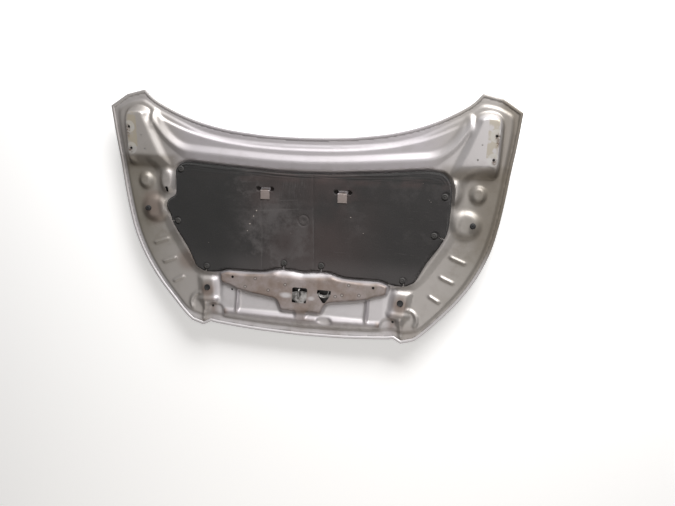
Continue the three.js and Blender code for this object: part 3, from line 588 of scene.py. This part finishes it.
def makePad():
    rims = np.vstack([inset(padEdgeLoop, d) for d in (1.5, 3, 4.5, 6, 7.5, 10, 14)])
    rims = rims[insideLoop(inset(padEdgeLoop, 1), *rims.T)]
    near = [patch(pad["step"], 108, 46, (0, 6))]
    near += [patch(1.6, 28, 11, seat) for seat in hookSeats.values()]
    near += [patch(2.5, 10, 10, seat) for seat in clipSeats.values()]
    near += [patch(2.5, 204, 5, (0, 178)), patch(2.5, 12, 12, pad["ring"])]
    points = np.vstack(near)
    points = points[insideLoop(inset(padEdgeLoop, 3), *points.T)]
    holes = [circle(a, b, fit["clip"], 12) for a, b in clipSeats.values()]
    w, front, rear = pad["slot"]
    for cx, cy in hookSeats.values():
        holes.append(np.array([[-w, front], [w, front], [w, rear], [-w, rear]], float) + (cx, cy))
    for a, b in pad["notches"]:
        a, b = np.array(a, float), np.array(b, float)
        across = np.array([a[1] - b[1], b[0] - a[0]]) / np.hypot(*(b - a)) * pad["notchWidth"]
        holes.append(np.array([a - across * 0.6, b - across * 1.5, b + across * 1.5, a + across * 0.6]))
    plan, faces = cutSheet(padEdgeLoop, holes, np.vstack([points, rims]))
    base = crown(*plan.T) + pad["seat"]
    piece = sheetSolid("insulation_pad_moulded", plan, faces, base, base + padTop(*plan.T), "pad_felt")
    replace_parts(piece, "insulation_pad")
    return piece


insulationPad = makePad()
print("pad:", len(insulationPad.data.polygons), "faces")


# Turned and bent pieces
def standing(seat, height):
    x, y = seat
    step = 1.0
    at = lambda a, b: float(crown(np.array(a), np.array(b)))
    normal = Vector((-(at(x + step, y) - at(x - step, y)) / 2, -(at(x, y + step) - at(x, y - step)) / 2, 1))
    normal.normalize()
    base = Vector((x, y - planMiddle, at(x, y))) + normal * height
    turn = Vector((0, 0, 1)).rotation_difference(normal).to_matrix().to_4x4()
    return Matrix.Translation(base * mm) @ turn @ Matrix.Scale(mm, 4)


def turned(name, profile, place, slot, count=32):
    # profile: radius and height pairs from the bottom of the axis to its top
    rings = [(r, z) for r, z in profile if r > 0]
    vertices = [(0, 0, profile[0][1])]
    for r, z in rings:
        vertices += [(r * math.cos(2 * math.pi * i / count), r * math.sin(2 * math.pi * i / count), z)
                     for i in range(count)]
    vertices.append((0, 0, profile[-1][1]))
    faces = [(0, 1 + (i + 1) % count, 1 + i) for i in range(count)] + bandFaces(len(rings), count, 1)
    last, top = 1 + (len(rings) - 1) * count, len(vertices) - 1
    faces += [(last + i, last + (i + 1) % count, top) for i in range(count)]
    return makeObject(name, [place @ Vector(v) for v in vertices], faces, slot, 40)


clip = {"head": 11, "stem": 3.6, "faceHeight": 27.6, "gap": 0.5}
under = -(pad["thickness"] + trayEdge["clearance"] + clip["gap"] + panel["sheet"] + 0.3)


def makeClips():
    for name, seat in clipSeats.items():
        head, stem = clip["head"], clip["stem"]
        profile = [(0, under - 7), (stem - 0.9, under - 7), (stem + 0.9, under - 0.3), (stem, under - 0.3),
                   (stem, -3), (head - 1.2, -3), (head, -1.8), (head, 0.2), (head - 1, 1.4),
                   (head * 0.62, 2.2), (head * 0.56, 1.1), (head * 0.3, 0.9), (head * 0.24, 2.4),
                   (head * 0.1, 2.7), (0, 2.7)]
        place = standing(seat, clip["faceHeight"] + clip["gap"])
        piece = turned("push_clip_" + name, profile, place, "clip_plastic")
        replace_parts(piece, "clip_" + name)


def stripSolid(name, path, width, sheet, place, slot):
    # A bent strip: a path of (y, z) points with rounded corners, given a width and a thickness
    line = rounded(path, 1, 3.5, False, 6)[:, :2]
    along = np.gradient(line, axis=0)
    normal = np.column_stack([-along[:, 1], along[:, 0]]) / np.hypot(*along.T)[:, None]
    n = len(line)
    vertices, faces = [], []
    for side in (line - normal * sheet / 2, line + normal * sheet / 2):
        for x in (-width / 2, width / 2):
            vertices += [(x, p[0], p[1]) for p in side]
    for i in range(n - 1):
        a, b, c, d = i, n + i, 2 * n + i, 3 * n + i
        faces += [(a, a + 1, b + 1, b), (c, d, d + 1, c + 1), (a, c, c + 1, a + 1), (b, b + 1, d + 1, d)]
    faces += [(0, n, 3 * n, 2 * n), (n - 1, 3 * n - 1, 4 * n - 1, 2 * n - 1)]
    return makeObject(name, [place @ Vector(v) for v in vertices], faces, slot, 30)


hook = {"width": 34, "reach": 33, "sheet": 1.2, "foot": 9, "upright": -7.2, "arm": 14.1}


def makeHooks():
    for side, seat in hookSeats.items():
        half = hook["sheet"] / 2
        path = [(hook["upright"] + hook["foot"], 0.3 + half), (hook["upright"] + half, 0.3 + half),
                (hook["upright"] + half, hook["arm"] + half),
                (hook["upright"] - hook["reach"], hook["arm"] + half - 0.5)]
        piece = stripSolid("pad_hook_strip_" + side, path, hook["width"], hook["sheet"],
                           standing(seat, levels["tray"]), "body_paint")
        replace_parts(piece, "pad_hook_" + side)


buffer = {"radius": 10, "height": 13, "stem": 4.5}
plug = {"radius": 11.5, "height": 3.5, "stem": 8}


def heightAt(seat):
    return float(relief(np.array([seat[0]], float), np.array([seat[1]], float))[0])


def makeRubber():
    r, h, stem = buffer["radius"], buffer["height"], buffer["stem"]
    tall = [(0, -9.4), (stem - 0.9, -9.4), (stem + 1.8, -1.7), (stem, -1.7), (stem, 0),
            (r - 0.6, 0), (r, 0.6), (r, h * 0.3), (r - 0.8, h * 0.36), (r * 0.74, h * 0.4),
            (r * 0.74, h * 0.5), (r * 0.9, h * 0.55), (r * 0.93, h * 0.8), (r * 0.84, h * 0.93),
            (r * 0.62, h), (r * 0.3, h), (r * 0.22, h * 0.86), (0, h * 0.84)]
    r2, h2, stem2 = plug["radius"], plug["height"], plug["stem"]
    flat = [(0, -7.4), (stem2 - 0.9, -7.4), (stem2 + 0.9, -1.7), (stem2, -1.7), (stem2, 0), (r2 - 0.5, 0),
            (r2, 0.5), (r2, h2 * 0.5), (r2 - 0.8, h2 * 0.85), (r2 - 2, h2), (r2 - 3, h2 * 0.9),
            (r2 - 4, h2 * 0.55), (0, h2 * 0.5)]
    for side, sign in (("right", 1), ("left", -1)):
        for kind, seat, profile, node in (("buffer", bufferSeat, tall, "side_buffer_"),
                                          ("plug", plugSeat, flat, "corner_plug_")):
            place = (sign * seat[0], seat[1])
            piece = turned("rubber_" + kind + "_" + side, profile, standing(place, heightAt(seat) + 0.5),
                           "buffer_rubber")
            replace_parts(piece, node + side)


def tube(name, points, radius, place, slot, count=16):
    # A round wire along a smooth path, as a closed mesh
    line = smoothLine(points, 8)
    along = np.gradient(line, axis=0)
    along /= np.linalg.norm(along, axis=1)[:, None]
    side = np.cross(along[0], (0.3, 0.2, 1) if abs(along[0][2]) < 0.8 else (1, 0.2, 0))
    vertices = []
    for centre, direction in zip(line, along):
        side = side - direction * side.dot(direction)
        side /= np.linalg.norm(side)
        other = np.cross(direction, side)
        for i in range(count):
            angle = 2 * math.pi * i / count
            vertices.append(centre + radius * (math.cos(angle) * side + math.sin(angle) * other))
    faces = bandFaces(len(line), count)
    faces += [tuple(range(count - 1, -1, -1)), tuple(range(len(vertices) - count, len(vertices)))]
    return makeObject(name, [place @ Vector(v) for v in vertices], faces, slot, 40)


latch = {
    "bracketTop": 28.1, "gap": 0.5, "wire": 3.6, "span": 34, "rise": 17, "catchWire": 2.2,
    "bracket": [(-24, -284), (-14, -300), (6, -300), (14, -284), (40, -276), (40, -256), (18, -250),
                (2, -247), (-18, -250), (-52, -258), (-52, -276)],
    "catchPlate": [(52, -262), (70, -264), (104, -264), (122, -260), (122, -250), (104, -252), (86, -256),
                   (70, -253), (52, -250)],
    "catchPath": [(104, -238), (102, -250), (99, -259), (90, -263), (76, -262), (70, -256), (69, -247)],
}
hingePlate = {"loop": [(582, 250), (650, 250), (650, 352), (630, 366), (612, 366)], "sheet": 2, "gap": 0.4}


def makeHingePlates():
    # Plates under the hinge seats, which the hinge bolts go through
    for side, sign in (("right", 1), ("left", -1)):
        edge = rounded([(sign * x, y) for x, y in hingePlate["loop"]][::sign], 1, 8, True)[:, :2]
        holes = [circle(sign * a, b, fit["bolt"]) for a, b in hingeBolts]
        plan, faces = cutSheet(edge, holes, np.empty((0, 2)))
        top = crown(*plan.T) + hingeSurface(*plan.T) - panel["sheet"] - hingePlate["gap"]
        piece = sheetSolid("hinge_plate_" + side, plan, faces, top - hingePlate["sheet"], top, "bare_steel")
        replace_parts(piece, "hinge_reinforcement_" + side)


def makeLatchPlates():
    # Pressed brackets under the openings, with curved edges and a low crown
    for name, loop, node in (("striker_bracket_pressing", latch["bracket"], "striker_bracket"),
                             ("catch_bracket_pressing", latch["catchPlate"], "catch_bracket")):
        edge = rounded(loop, 1, 4, True)[:, :2]
        points = patch(3, 60, 60, edge.mean(0))
        points = points[insideLoop(inset(edge, 1.2), *points.T)]
        plan, faces = cutSheet(edge, [], points)
        away = np.min([toLine(plan[:, 0], plan[:, 1], a, b) for a, b in zip(edge, np.roll(edge, -1, 0))], 0)
        top = crown(*plan.T) + latch["bracketTop"] - 1.2 * (1 - wallRise(away / 5, 0.5))
        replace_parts(sheetSolid(name, plan, faces, top - 1.2, top, "bare_steel"), node)


def makeLatchWires():
    half, rise = latch["span"] / 2, latch["rise"]
    loop = [(0, -half, 0), (0, -half, rise * 0.6), (0, -half * 0.8, rise * 0.92), (0, 0, rise),
            (0, half * 0.8, rise * 0.92), (0, half, rise * 0.6), (0, half, 0)]
    place = standing(strikerSeat, latch["bracketTop"] + latch["gap"])
    piece = tube("striker_loop", loop, latch["wire"], place, "bare_steel")
    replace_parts(piece, "striker")
    height = latch["bracketTop"] + latch["gap"] + latch["catchWire"]
    path = [(x, y - planMiddle, float(crown(np.array(x), np.array(y))) + height)
            for x, y in latch["catchPath"]]
    piece = tube("safety_catch_wire", path, latch["catchWire"], Matrix.Scale(mm, 4), "bare_steel")
    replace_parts(piece, "safety_catch")


makeClips()
makeHooks()
makeRubber()
makeHingePlates()
makeLatchPlates()
makeLatchWires()
print("clips, hooks, rubber and latch made")


# Shader maths
class Wire:
    # One socket of a finish, with the usual operators
    def __init__(self, finish, socket):
        self.finish, self.socket = finish, socket

    def join(self, operation, other, swap=False):
        # A place goes through Vector Math, a number through Math; colours only meet in Finish.mix
        a, b = (other, self) if swap else (self, other)
        kind = "ShaderNodeVectorMath" if self.socket.type == "VECTOR" else "ShaderNodeMath"
        return self.finish.node(kind, {"operation": operation}, {0: a, 1: b})

    def __add__(self, other):
        return self.join("ADD", other)

    __radd__ = __add__

    def __sub__(self, other):
        return self.join("SUBTRACT", other)

    def __rsub__(self, other):
        return self.join("SUBTRACT", other, True)

    def __mul__(self, other):
        return self.join("MULTIPLY", other)

    __rmul__ = __mul__


class Finish:
    # A material under construction
    def __init__(self, name):
        self.material = bpy.data.materials.new(name)
        self.material.use_nodes = True
        self.tree = self.material.node_tree
        self.tree.nodes.clear()
        self.place = self.node("ShaderNodeTexCoord", {}, {}, "Object")

    def node(self, kind, settings, sockets, output=0):
        made = self.tree.nodes.new(kind)
        for key, value in settings.items():
            setattr(made, key, value)
        for key, value in sockets.items():
            self.feed(made.inputs[key], value)
        return Wire(self, made.outputs[output]) if len(made.outputs) else None

    def feed(self, socket, value):
        if isinstance(value, Wire):
            self.tree.links.new(value.socket, socket)
        elif isinstance(value, (tuple, list)) and socket.type == "RGBA":
            socket.default_value = (*value[:3], 1)
        else:
            socket.default_value = value

    def noise(self, scale, detail=4, roughness=0.55, stretch=None, shift=None):
        where = self.place
        if shift:
            where = where + shift
        if stretch:
            where = where * stretch
        return self.node("ShaderNodeTexNoise", {}, {"Vector": where, "Scale": scale, "Detail": detail,
                                                    "Roughness": roughness})

    def ease(self, value, low, high, start=0.0, end=1.0):
        return self.node("ShaderNodeMapRange", {"interpolation_type": "SMOOTHSTEP"},
                         {"Value": value, "From Min": low, "From Max": high, "To Min": start, "To Max": end})

    def mix(self, mask, a, b):
        return self.node("ShaderNodeMix", {"data_type": "RGBA"}, {0: mask, 6: a, 7: b}, 2)

    def lay(self, mask, tint):
        # One more layer of colour over those already laid
        self.colour = self.mix(mask, self.colour, tint)

    def axes(self):
        split = self.node("ShaderNodeSeparateXYZ", {}, {0: self.place})
        return [Wire(self, out) for out in split.socket.node.outputs]

    def larger(self, a, b):
        return self.node("ShaderNodeMath", {"operation": "MAXIMUM"}, {0: a, 1: b})

    def size(self, value):
        return self.node("ShaderNodeMath", {"operation": "ABSOLUTE"}, {0: value})

    def bump(self, height, strength, distance):
        return self.node("ShaderNodeBump", {}, {"Height": height, "Strength": strength, "Distance": distance})

    def surface(self, sockets):
        self.node("ShaderNodeOutputMaterial", {}, {0: self.node("ShaderNodeBsdfPrincipled", {}, sockets)})
        return self.material


def metres(point):
    return (point[0] * mm, (point[1] - planMiddle) * mm)


# Silver paint of the underside, with dust, primer at the hinges, rust and rubbed marks, and with painted
# shade, painted highlights and painted reflection laid into its colour
paint = {
    "clean": (0.465, 0.44, 0.46), "outer": (0.405, 0.382, 0.365), "warm": (0.232, 0.180, 0.154),
    "dustAndShade": (0.17, 0.145, 0.115), "sideReflection": (0.215, 0.197, 0.168), "pale": (0.57, 0.55, 0.56),
    "primer": (0.40, 0.35, 0.25), "paleTone": (0.56, 0.555, 0.54), "rust": (0.10, 0.055, 0.03),
    "dark": (0.02, 0.018, 0.017), "metallic": 0.6, "roughness": 0.46,
    # Marks: middle and radius, and for the rubbed ones squash and strength
    "plugAndPadSpots": [((368, -262), 26), ((366, -275), 22), ((330, -336), 24), ((300, -345), 18)],
    "leftShadePatches": [((-452, -160), 38), ((-585, 60), 40), ((-575, 8), 34)],
    "rubbed": [((-58, -266), 20, 2.2, 0.9), ((40, -271), 11, 1.6, 0.7), ((0, -187), 60, 7, 0.8)],
    "welds": [(-180, -213), (-217, -246), (-127, -253), (-63, -228), (178, -211), (218, -244), (130, -256),
              (155, -249)],
}


def spot(finish, x, y, point, radius, soft, squash=1.0):
    # 1 inside a round spot, falling to 0 over its soft edge, on one side of the bonnet
    px, py = metres(point)
    dx, dy = x - px, (y - py) * squash
    far = finish.node("ShaderNodeMath", {"operation": "POWER"}, {0: dx * dx + dy * dy, 1: 0.5})
    return finish.ease(far, (radius - soft) * mm, (radius + soft) * mm, 1.0, 0.0)


def paintFinish():
    f = Finish("silver_paint")
    x, y, z = f.axes()
    ax = f.size(x)
    broad = f.noise(5, 3)
    cloud = f.noise(17, 5, 0.6)
    grain = f.noise(140, 3, 0.7)
    rise, hollow, fold = [f.node("ShaderNodeAttribute", {"attribute_name": name}, {}, "Fac")
                          for name in ("rise", "hollow", "fold")]
    # Painted reflection: the outer sides take a darker olive tint, weaker towards the front
    side = f.ease(ax + (cloud - 0.5) * 0.10 - y * 0.1, 0.46, 0.66) * f.ease(y, 0.21, 0.165)
    front = f.ease(y + (cloud - 0.5) * 0.03, -0.345, -0.385)
    shelf = f.ease(rise, 20, 29) * f.ease(y, -0.165, -0.19)
    flanks = f.larger(f.ease(ax, 0.40, 0.56), f.ease(ax, 0.32, 0.38) * f.ease(y, 0.0, -0.1))
    f.colour = f.mix(flanks, paint["clean"], paint["outer"])
    side = side * f.ease(y, -0.28, -0.05, 0.45, 1.0) * f.ease(x, 0.42, 0.52, 1.0, 0.8)
    f.lay(side, paint["sideReflection"])
    # Painted shade: the down-facing wall under each hinge seat is darkened
    underHingeShade = f.ease(y, 0.222, 0.200) * f.ease(y, 0.146, 0.168) * f.ease(ax, 0.46, 0.50)
    f.lay(underHingeShade * 0.5, paint["dustAndShade"])
    # Darker warm spots round the corner plugs and the fixing pads
    for point, radius in paint["plugAndPadSpots"]:
        f.lay(spot(f, ax, y, point, radius, radius * 0.5) * 0.7, paint["warm"])
    # Painted shade: warm dark patches on the left, by the pad's front corner and round the buffer seat
    for point, radius in paint["leftShadePatches"]:
        f.lay(spot(f, x, y, point, radius, radius * 0.5) * 0.65, paint["warm"])
    # Painted highlight: the right hinge seat is made paler
    right = f.ease(x, 0.40, 0.55) * f.ease(y, 0.18, 0.22) * f.ease(rise, 14, 26)
    f.lay(right * 0.8, paint["pale"])
    # Painted highlight: the floors of the front recess and the corner pockets are made paler
    basin = f.ease(rise, 19, 15) * f.ease(ax, 0.345, 0.315) * f.ease(y, -0.20, -0.23)
    f.lay(basin * 0.9, paint["pale"])
    stain = f.ease(f.noise(11, 5, 0.62, None, (0.4, 0, 0)), 0.38, 0.66)
    f.lay(shelf * (0.6 + stain * 0.4), paint["warm"])
    # The front band of the beam turns warmer with the stains; on its down-facing wall this is partly painted
    # shade
    f.lay(front * (0.03 + stain * 0.32), paint["warm"])
    brow = f.ease(rise, 15, 22) * f.ease(y, -0.160, -0.175) * f.ease(y, -0.215, -0.195)
    f.lay(brow * 0.65, paint["warm"])
    soil = f.ease(cloud + broad * 0.2, 0.60, 0.80) * 0.35
    # Dust lies thicker on the front plateau; the mask also carries the sides' painted reflection and the
    # front band's painted shade, and the concave creases get dust and painted shade
    grimeAndShade = f.larger(f.larger(side * 0.8, shelf * 0.7), front * 0.6)
    f.lay(f.larger(soil * (0.3 + grimeAndShade), hollow * (0.2 + grimeAndShade * 0.45)), paint["dustAndShade"])
    # Painted highlight: the turned-back hem along the front half is made paler
    f.lay(fold * f.ease(y, 0.0, -0.2) * 0.9, paint["pale"])
    # Painted highlight: the low flange on the left is made paler, most towards the front
    edge = f.ease(rise, 7, 3.5)
    f.lay(edge * f.ease(x, -0.36, -0.44) * f.ease(y, 0.30, -0.05, 0.35, 0.95), paint["pale"])
    # Painted shade: the outer rim on the right, from the middle to the rear, is darkened
    rightRimShade = f.ease(x - f.ease(y, 0.18, 0.24) * 0.05, 0.585, 0.625) * f.ease(y, -0.16, -0.02)
    f.lay(rightRimShade * 0.5, paint["dustAndShade"])
    f.lay(rightRimShade * edge * 0.5, paint["dustAndShade"])
    # Painted shade: a warm dark spot on the panel where it shows through the pad's slot at each hook
    for seat in hookSeats.values():
        f.lay(spot(f, x, y, (seat[0], seat[1] - 28), 25, 3) * 0.75, paint["warm"])
    for point, radius, squash, amount in paint["rubbed"]:
        f.lay(spot(f, x, y, point, radius, radius * 0.6, squash) * amount, paint["pale"])
    # Painted shade and highlight: each spot weld is drawn as a dimple by a dark ring and a pale centre
    for point in paint["welds"]:
        ring = spot(f, x, y, point, 6.5, 1.0) - spot(f, x, y, point, 3.2, 1.0)
        f.lay(ring * 0.45, paint["dark"])
        f.lay(spot(f, x, y, point, 2.6, 1.0) * 0.5, paint["paleTone"])
    # Painted shade: sheet faces within 2.4 mm of the skin's crown, in the gap between skin and panel, are
    # painted near black and lose their metal; the turned-back hem is left out
    drawnY = y + planMiddle * mm
    bowl = f.ease(drawnY, -0.0002, 0.0002, skinForm["front"], skinForm["rear"])
    height = z - x * x * (skinForm["side"] / skinForm["halfWidth"] ** 2 / mm)
    height = height - drawnY * drawnY * bowl * (1 / skinForm["halfLength"] ** 2 / mm)
    cavity = f.ease(height, 0.0003, 0.0006) * f.ease(height, 0.0024, 0.0012) * (1 - fold)
    f.lay(cavity, paint["dark"])
    px, py = metres((634, 322))
    inFoot = f.ease(f.size(ax - px), 0.0155, 0.0175, 1.0, 0.0)
    inFoot = inFoot * f.ease(f.size(y - py), 0.060, 0.063, 1.0, 0.0)
    f.lay(inFoot * f.ease(f.noise(38, 4, 0.6), 0.36, 0.5) * 0.6, paint["primer"])
    paleTone = f.larger(spot(f, ax, y, (643, 331), 19, 1.5, 0.9), spot(f, ax, y, (640, 255), 19, 1.5, 0.9))
    f.lay(paleTone * 0.55, paint["paleTone"])
    rust = f.larger(spot(f, ax, y, (648, 325), 8, 4, 0.6), spot(f, ax, y, (644, 249), 7, 4, 0.6))
    rust = f.larger(rust, spot(f, ax, y, (649, 308), 5, 4, 0.35))
    f.lay(rust * f.ease(grain, 0.35, 0.6) * 0.8, paint["rust"])
    bright = f.ease(f.noise(60, 4, 0.65, (1, 3.5, 1)), 0.67, 0.72)
    f.lay(bright * 0.25, paint["paleTone"])
    rough = paint["roughness"] + grimeAndShade * 0.08 + (grain - 0.5) * 0.06 + inFoot * 0.15
    normal = f.bump(f.noise(420, 2, 0.5), 0.05, 0.0004)
    metal = (paint["metallic"] - grimeAndShade * 0.2) * (1 - cavity)
    return f.surface({"Base Color": f.colour, "Metallic": metal, "Roughness": rough, "Normal": normal,
                      "Coat Weight": 0.15, "Coat Roughness": 0.25})


felt = {
    "base": (0.018, 0.0165, 0.0165), "brown": (0.050, 0.033, 0.031), "grey": (0.078, 0.071, 0.071),
    "umber": (0.022, 0.013, 0.012), "black": (0.010, 0.010, 0.010), "fleck": (0.42, 0.37, 0.33),
    "flecks": [((-183, 42), 2.2, 1.0), ((-194, 21), 2.0, 1.0), ((-208, -8.7), 3.4, 2.2),
               ((-217, -35), 1.6, 1.0), ((172, 36), 2.2, 1.6)],
    "seams": [((-163, 82), (-159, -172)), ((31, 62), (40, -164)), ((-165, 43), (-20, 56)),
              ((-92, 84), (-28, 88))],
}


def feltFinish():
    f = Finish("fibre_mat")
    x, y = f.axes()[:2]
    broad = f.noise(3.2, 3)
    middle = f.ease(f.size(x - 0.02), 0.34, 0.05) * f.ease(broad, 0.3, 0.6)
    f.colour = f.mix(middle * 0.55, felt["base"], felt["brown"])
    for seat in hookSeats.values():
        halo = spot(f, x, y, (seat[0] + 8, seat[1] - 26), 55, 42, 1.2) * f.ease(f.noise(24, 4), 0.35, 0.6)
        f.lay(halo * 0.45, felt["brown"])
    dusty = spot(f, x, y, (-115, -55), 140, 60, 0.9)
    dusty = dusty * f.ease(f.noise(13, 5, 0.68, None, (1, 2, 0)), 0.36, 0.62)
    paler = spot(f, x, y, (-225, 128), 75, 55) * f.ease(f.noise(30, 4, 0.7), 0.46, 0.7) * 0.7
    dusty = f.larger(dusty, paler)
    front = f.ease(y, -0.12, -0.19)
    wear = f.ease(f.noise(9, 5, 0.65, None, (3, 1, 0)), 0.5, 0.75)
    f.lay(f.larger(f.larger(dusty, front * 0.5), wear * 0.4) * 0.75, felt["grey"])
    strokes = f.ease(f.noise(70, 3, 0.6, (0.3, 5, 1)), 0.62, 0.74) * f.ease(broad, 0.4, 0.6)
    f.lay(strokes * 0.3, felt["grey"])
    f.lay(spot(f, x, y, (-75, -70), 45, 30) * 0.6, felt["umber"])
    rubbed = f.ease(f.noise(70, 3, 0.6, (5, 0.4, 1)), 0.5, 0.7) * spot(f, x, y, (-45, 130), 55, 28)
    f.lay(rubbed * 0.45, felt["grey"])
    band = f.ease(y, 0.118, 0.138) * f.ease(y, 0.168, 0.150)
    f.lay(band * f.ease(f.noise(18, 4), 0.35, 0.6) * 0.5, felt["brown"])
    for a, b in felt["seams"]:
        (ax, ay), (bx, by) = metres(a), metres(b)
        along = ((x - ax) * (bx - ax) + (y - ay) * (by - ay)) * (1 / ((bx - ax) ** 2 + (by - ay) ** 2))
        across = f.size((x - ax) * (by - ay) - (y - ay) * (bx - ax)) * (1 / math.hypot(bx - ax, by - ay))
        seam = f.ease(across, 0.0022, 0.0008) * f.ease(along, -0.02, 0.02) * f.ease(along, 1.02, 0.98)
        f.lay(seam * f.ease(f.noise(30, 3), 0.3, 0.6) * 0.6, felt["grey"])
    corner = f.ease(x, -0.20, -0.34) * f.ease(y, -0.19, 0.0, 0.8, 1.0)
    f.lay(corner * 0.85, felt["black"])
    # Painted shade: black streaks across the folded strip along the pad's rear edge
    folded = f.ease(y, 0.138, 0.150)
    streaks = f.ease(f.noise(40, 3, 0.6, (0.25, 6, 1)), 0.42, 0.58)
    f.lay(folded * streaks * 0.75, felt["black"])
    fibres = f.noise(900, 3, 0.7, (1, 0.35, 1))
    f.lay(f.ease(fibres, 0.5, 0.8) * 0.3, felt["grey"])
    cells = f.node("ShaderNodeTexVoronoi", {"feature": "F1"}, {"Vector": f.place, "Scale": 42.0})
    flecks = f.ease(cells, 0.035, 0.06, 1.0, 0.0) * f.ease(f.noise(14, 2), 0.6, 0.66)
    for point, radius, squash in felt["flecks"]:
        flecks = f.larger(flecks, spot(f, x, y, point, radius, 0.5, squash))
    f.lay(flecks * 0.8, felt["fleck"])
    height = fibres * 0.6 + f.noise(160, 4, 0.6) * 1.0
    return f.surface({"Base Color": f.colour, "Roughness": 0.86, "Sheen Weight": 0.15, "Sheen Roughness": 0.5,
                      "Normal": f.bump(height, 0.35, 0.0012)})


def plainFinish(name, base, other, roughness, metallic, scale, bumpHeight):
    # Moulded or plated stock: two tones in fine noise, with a slight bump
    f = Finish(name)
    tone = f.ease(f.noise(scale, 4, 0.6), 0.35, 0.7)
    rough = roughness + (f.noise(scale * 2, 3) - 0.5) * 0.12
    return f.surface({"Base Color": f.mix(tone, base, other), "Metallic": metallic, "Roughness": rough,
                      "Normal": f.bump(f.noise(scale * 6, 3), 0.15, bumpHeight)})


finishes = {
    "body_paint": paintFinish(),
    "pad_felt": feltFinish(),
    "clip_plastic": plainFinish("black_plastic", (0.030, 0.029, 0.028), (0.055, 0.052, 0.05),
                                0.72, 0, 80, 0.0003),
    "bare_steel": plainFinish("zinc_steel", (0.46, 0.45, 0.44), (0.12, 0.115, 0.11),
                              0.34, 0.85, 60, 0.0002),
    "buffer_rubber": plainFinish("black_rubber", (0.009, 0.009, 0.010), (0.026, 0.026, 0.027),
                                 0.75, 0, 60, 0.0004),
    "mastic": plainFinish("grey_mastic", (0.08, 0.078, 0.07), (0.05, 0.049, 0.045),
                          0.85, 0, 40, 0.0008),
}
slotOf = {row["node"]: row["material_slot"] for row in frame["record"]["subparts"]}
for name, node in frame["nodes"].items():
    node.data.materials.clear()
    node.data.materials.append(finishes[slotOf[name]])
for piece in bpy.data.objects:
    if piece.type == "MESH" and piece.name not in frame["nodes"]:
        piece.data.materials.append(finishes[piece["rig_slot"]])
print("finishes made")

# Room: a pale floor, one large soft light behind the rear edge, one weak fill
studio = {
    "floor": (0.25, 0.9), "glow": 0.35,
    "lights": [
        {"name": "key", "place": (0.75, 2.2, 1.3), "aim": (0, 0.1, 0), "size": (2.2, 1.2), "power": 125,
         "tint": (1.0, 0.995, 0.99)},
        {"name": "top", "place": (0.2, 0.0, 3.0), "aim": (0, 0.1, 0), "size": (1.6, 1.6), "power": 14,
         "tint": (1.0, 0.97, 0.95)},
        {"name": "fill", "place": (0.3, -2.6, 1.6), "aim": (0, 0, 0), "size": (3.0, 1.2), "power": 16,
         "tint": (1.0, 0.94, 0.86)},
    ],
    "sky": (0.10, 0.095, 0.09),
}


def makeFloor():
    size = 6
    mesh = bpy.data.meshes.new("floor")
    corners = [(-size, -size, 0), (size, -size, 0), (size, size, 0), (-size, size, 0)]
    mesh.from_pydata(corners, [], [(0, 1, 2, 3)])
    floor = addObject("floor", mesh)
    finish = Finish("white_floor")
    dark, light = studio["floor"]
    seen = finish.node("ShaderNodeLightPath", {}, {}, "Is Camera Ray")
    tone = finish.mix(seen, (dark,) * 3, (light,) * 3)
    glow = finish.mix(seen, (0, 0, 0), (studio["glow"],) * 3)
    floor.data.materials.append(finish.surface({"Base Color": tone, "Roughness": 0.9, "Emission Color": glow,
                                                "Emission Strength": 1.0}))


def makeLights():
    for lamp in studio["lights"]:
        data = bpy.data.lights.new(lamp["name"], "AREA")
        data.shape = "RECTANGLE"
        data.size, data.size_y = lamp["size"]
        data.energy = lamp["power"]
        data.color = lamp["tint"]
        light = addObject(lamp["name"], data)
        light.location = lamp["place"]
        aim = Vector(lamp["aim"]) - Vector(lamp["place"])
        light.rotation_euler = aim.to_track_quat("-Z", "Y").to_euler()
    world = bpy.data.worlds.new("sky")
    world.use_nodes = True
    world.node_tree.nodes["Background"].inputs["Color"].default_value = (*studio["sky"], 1)
    bpy.context.scene.world = world
    bpy.context.scene.view_settings.view_transform = "Standard"


makeFloor()
makeLights()
print("room made")
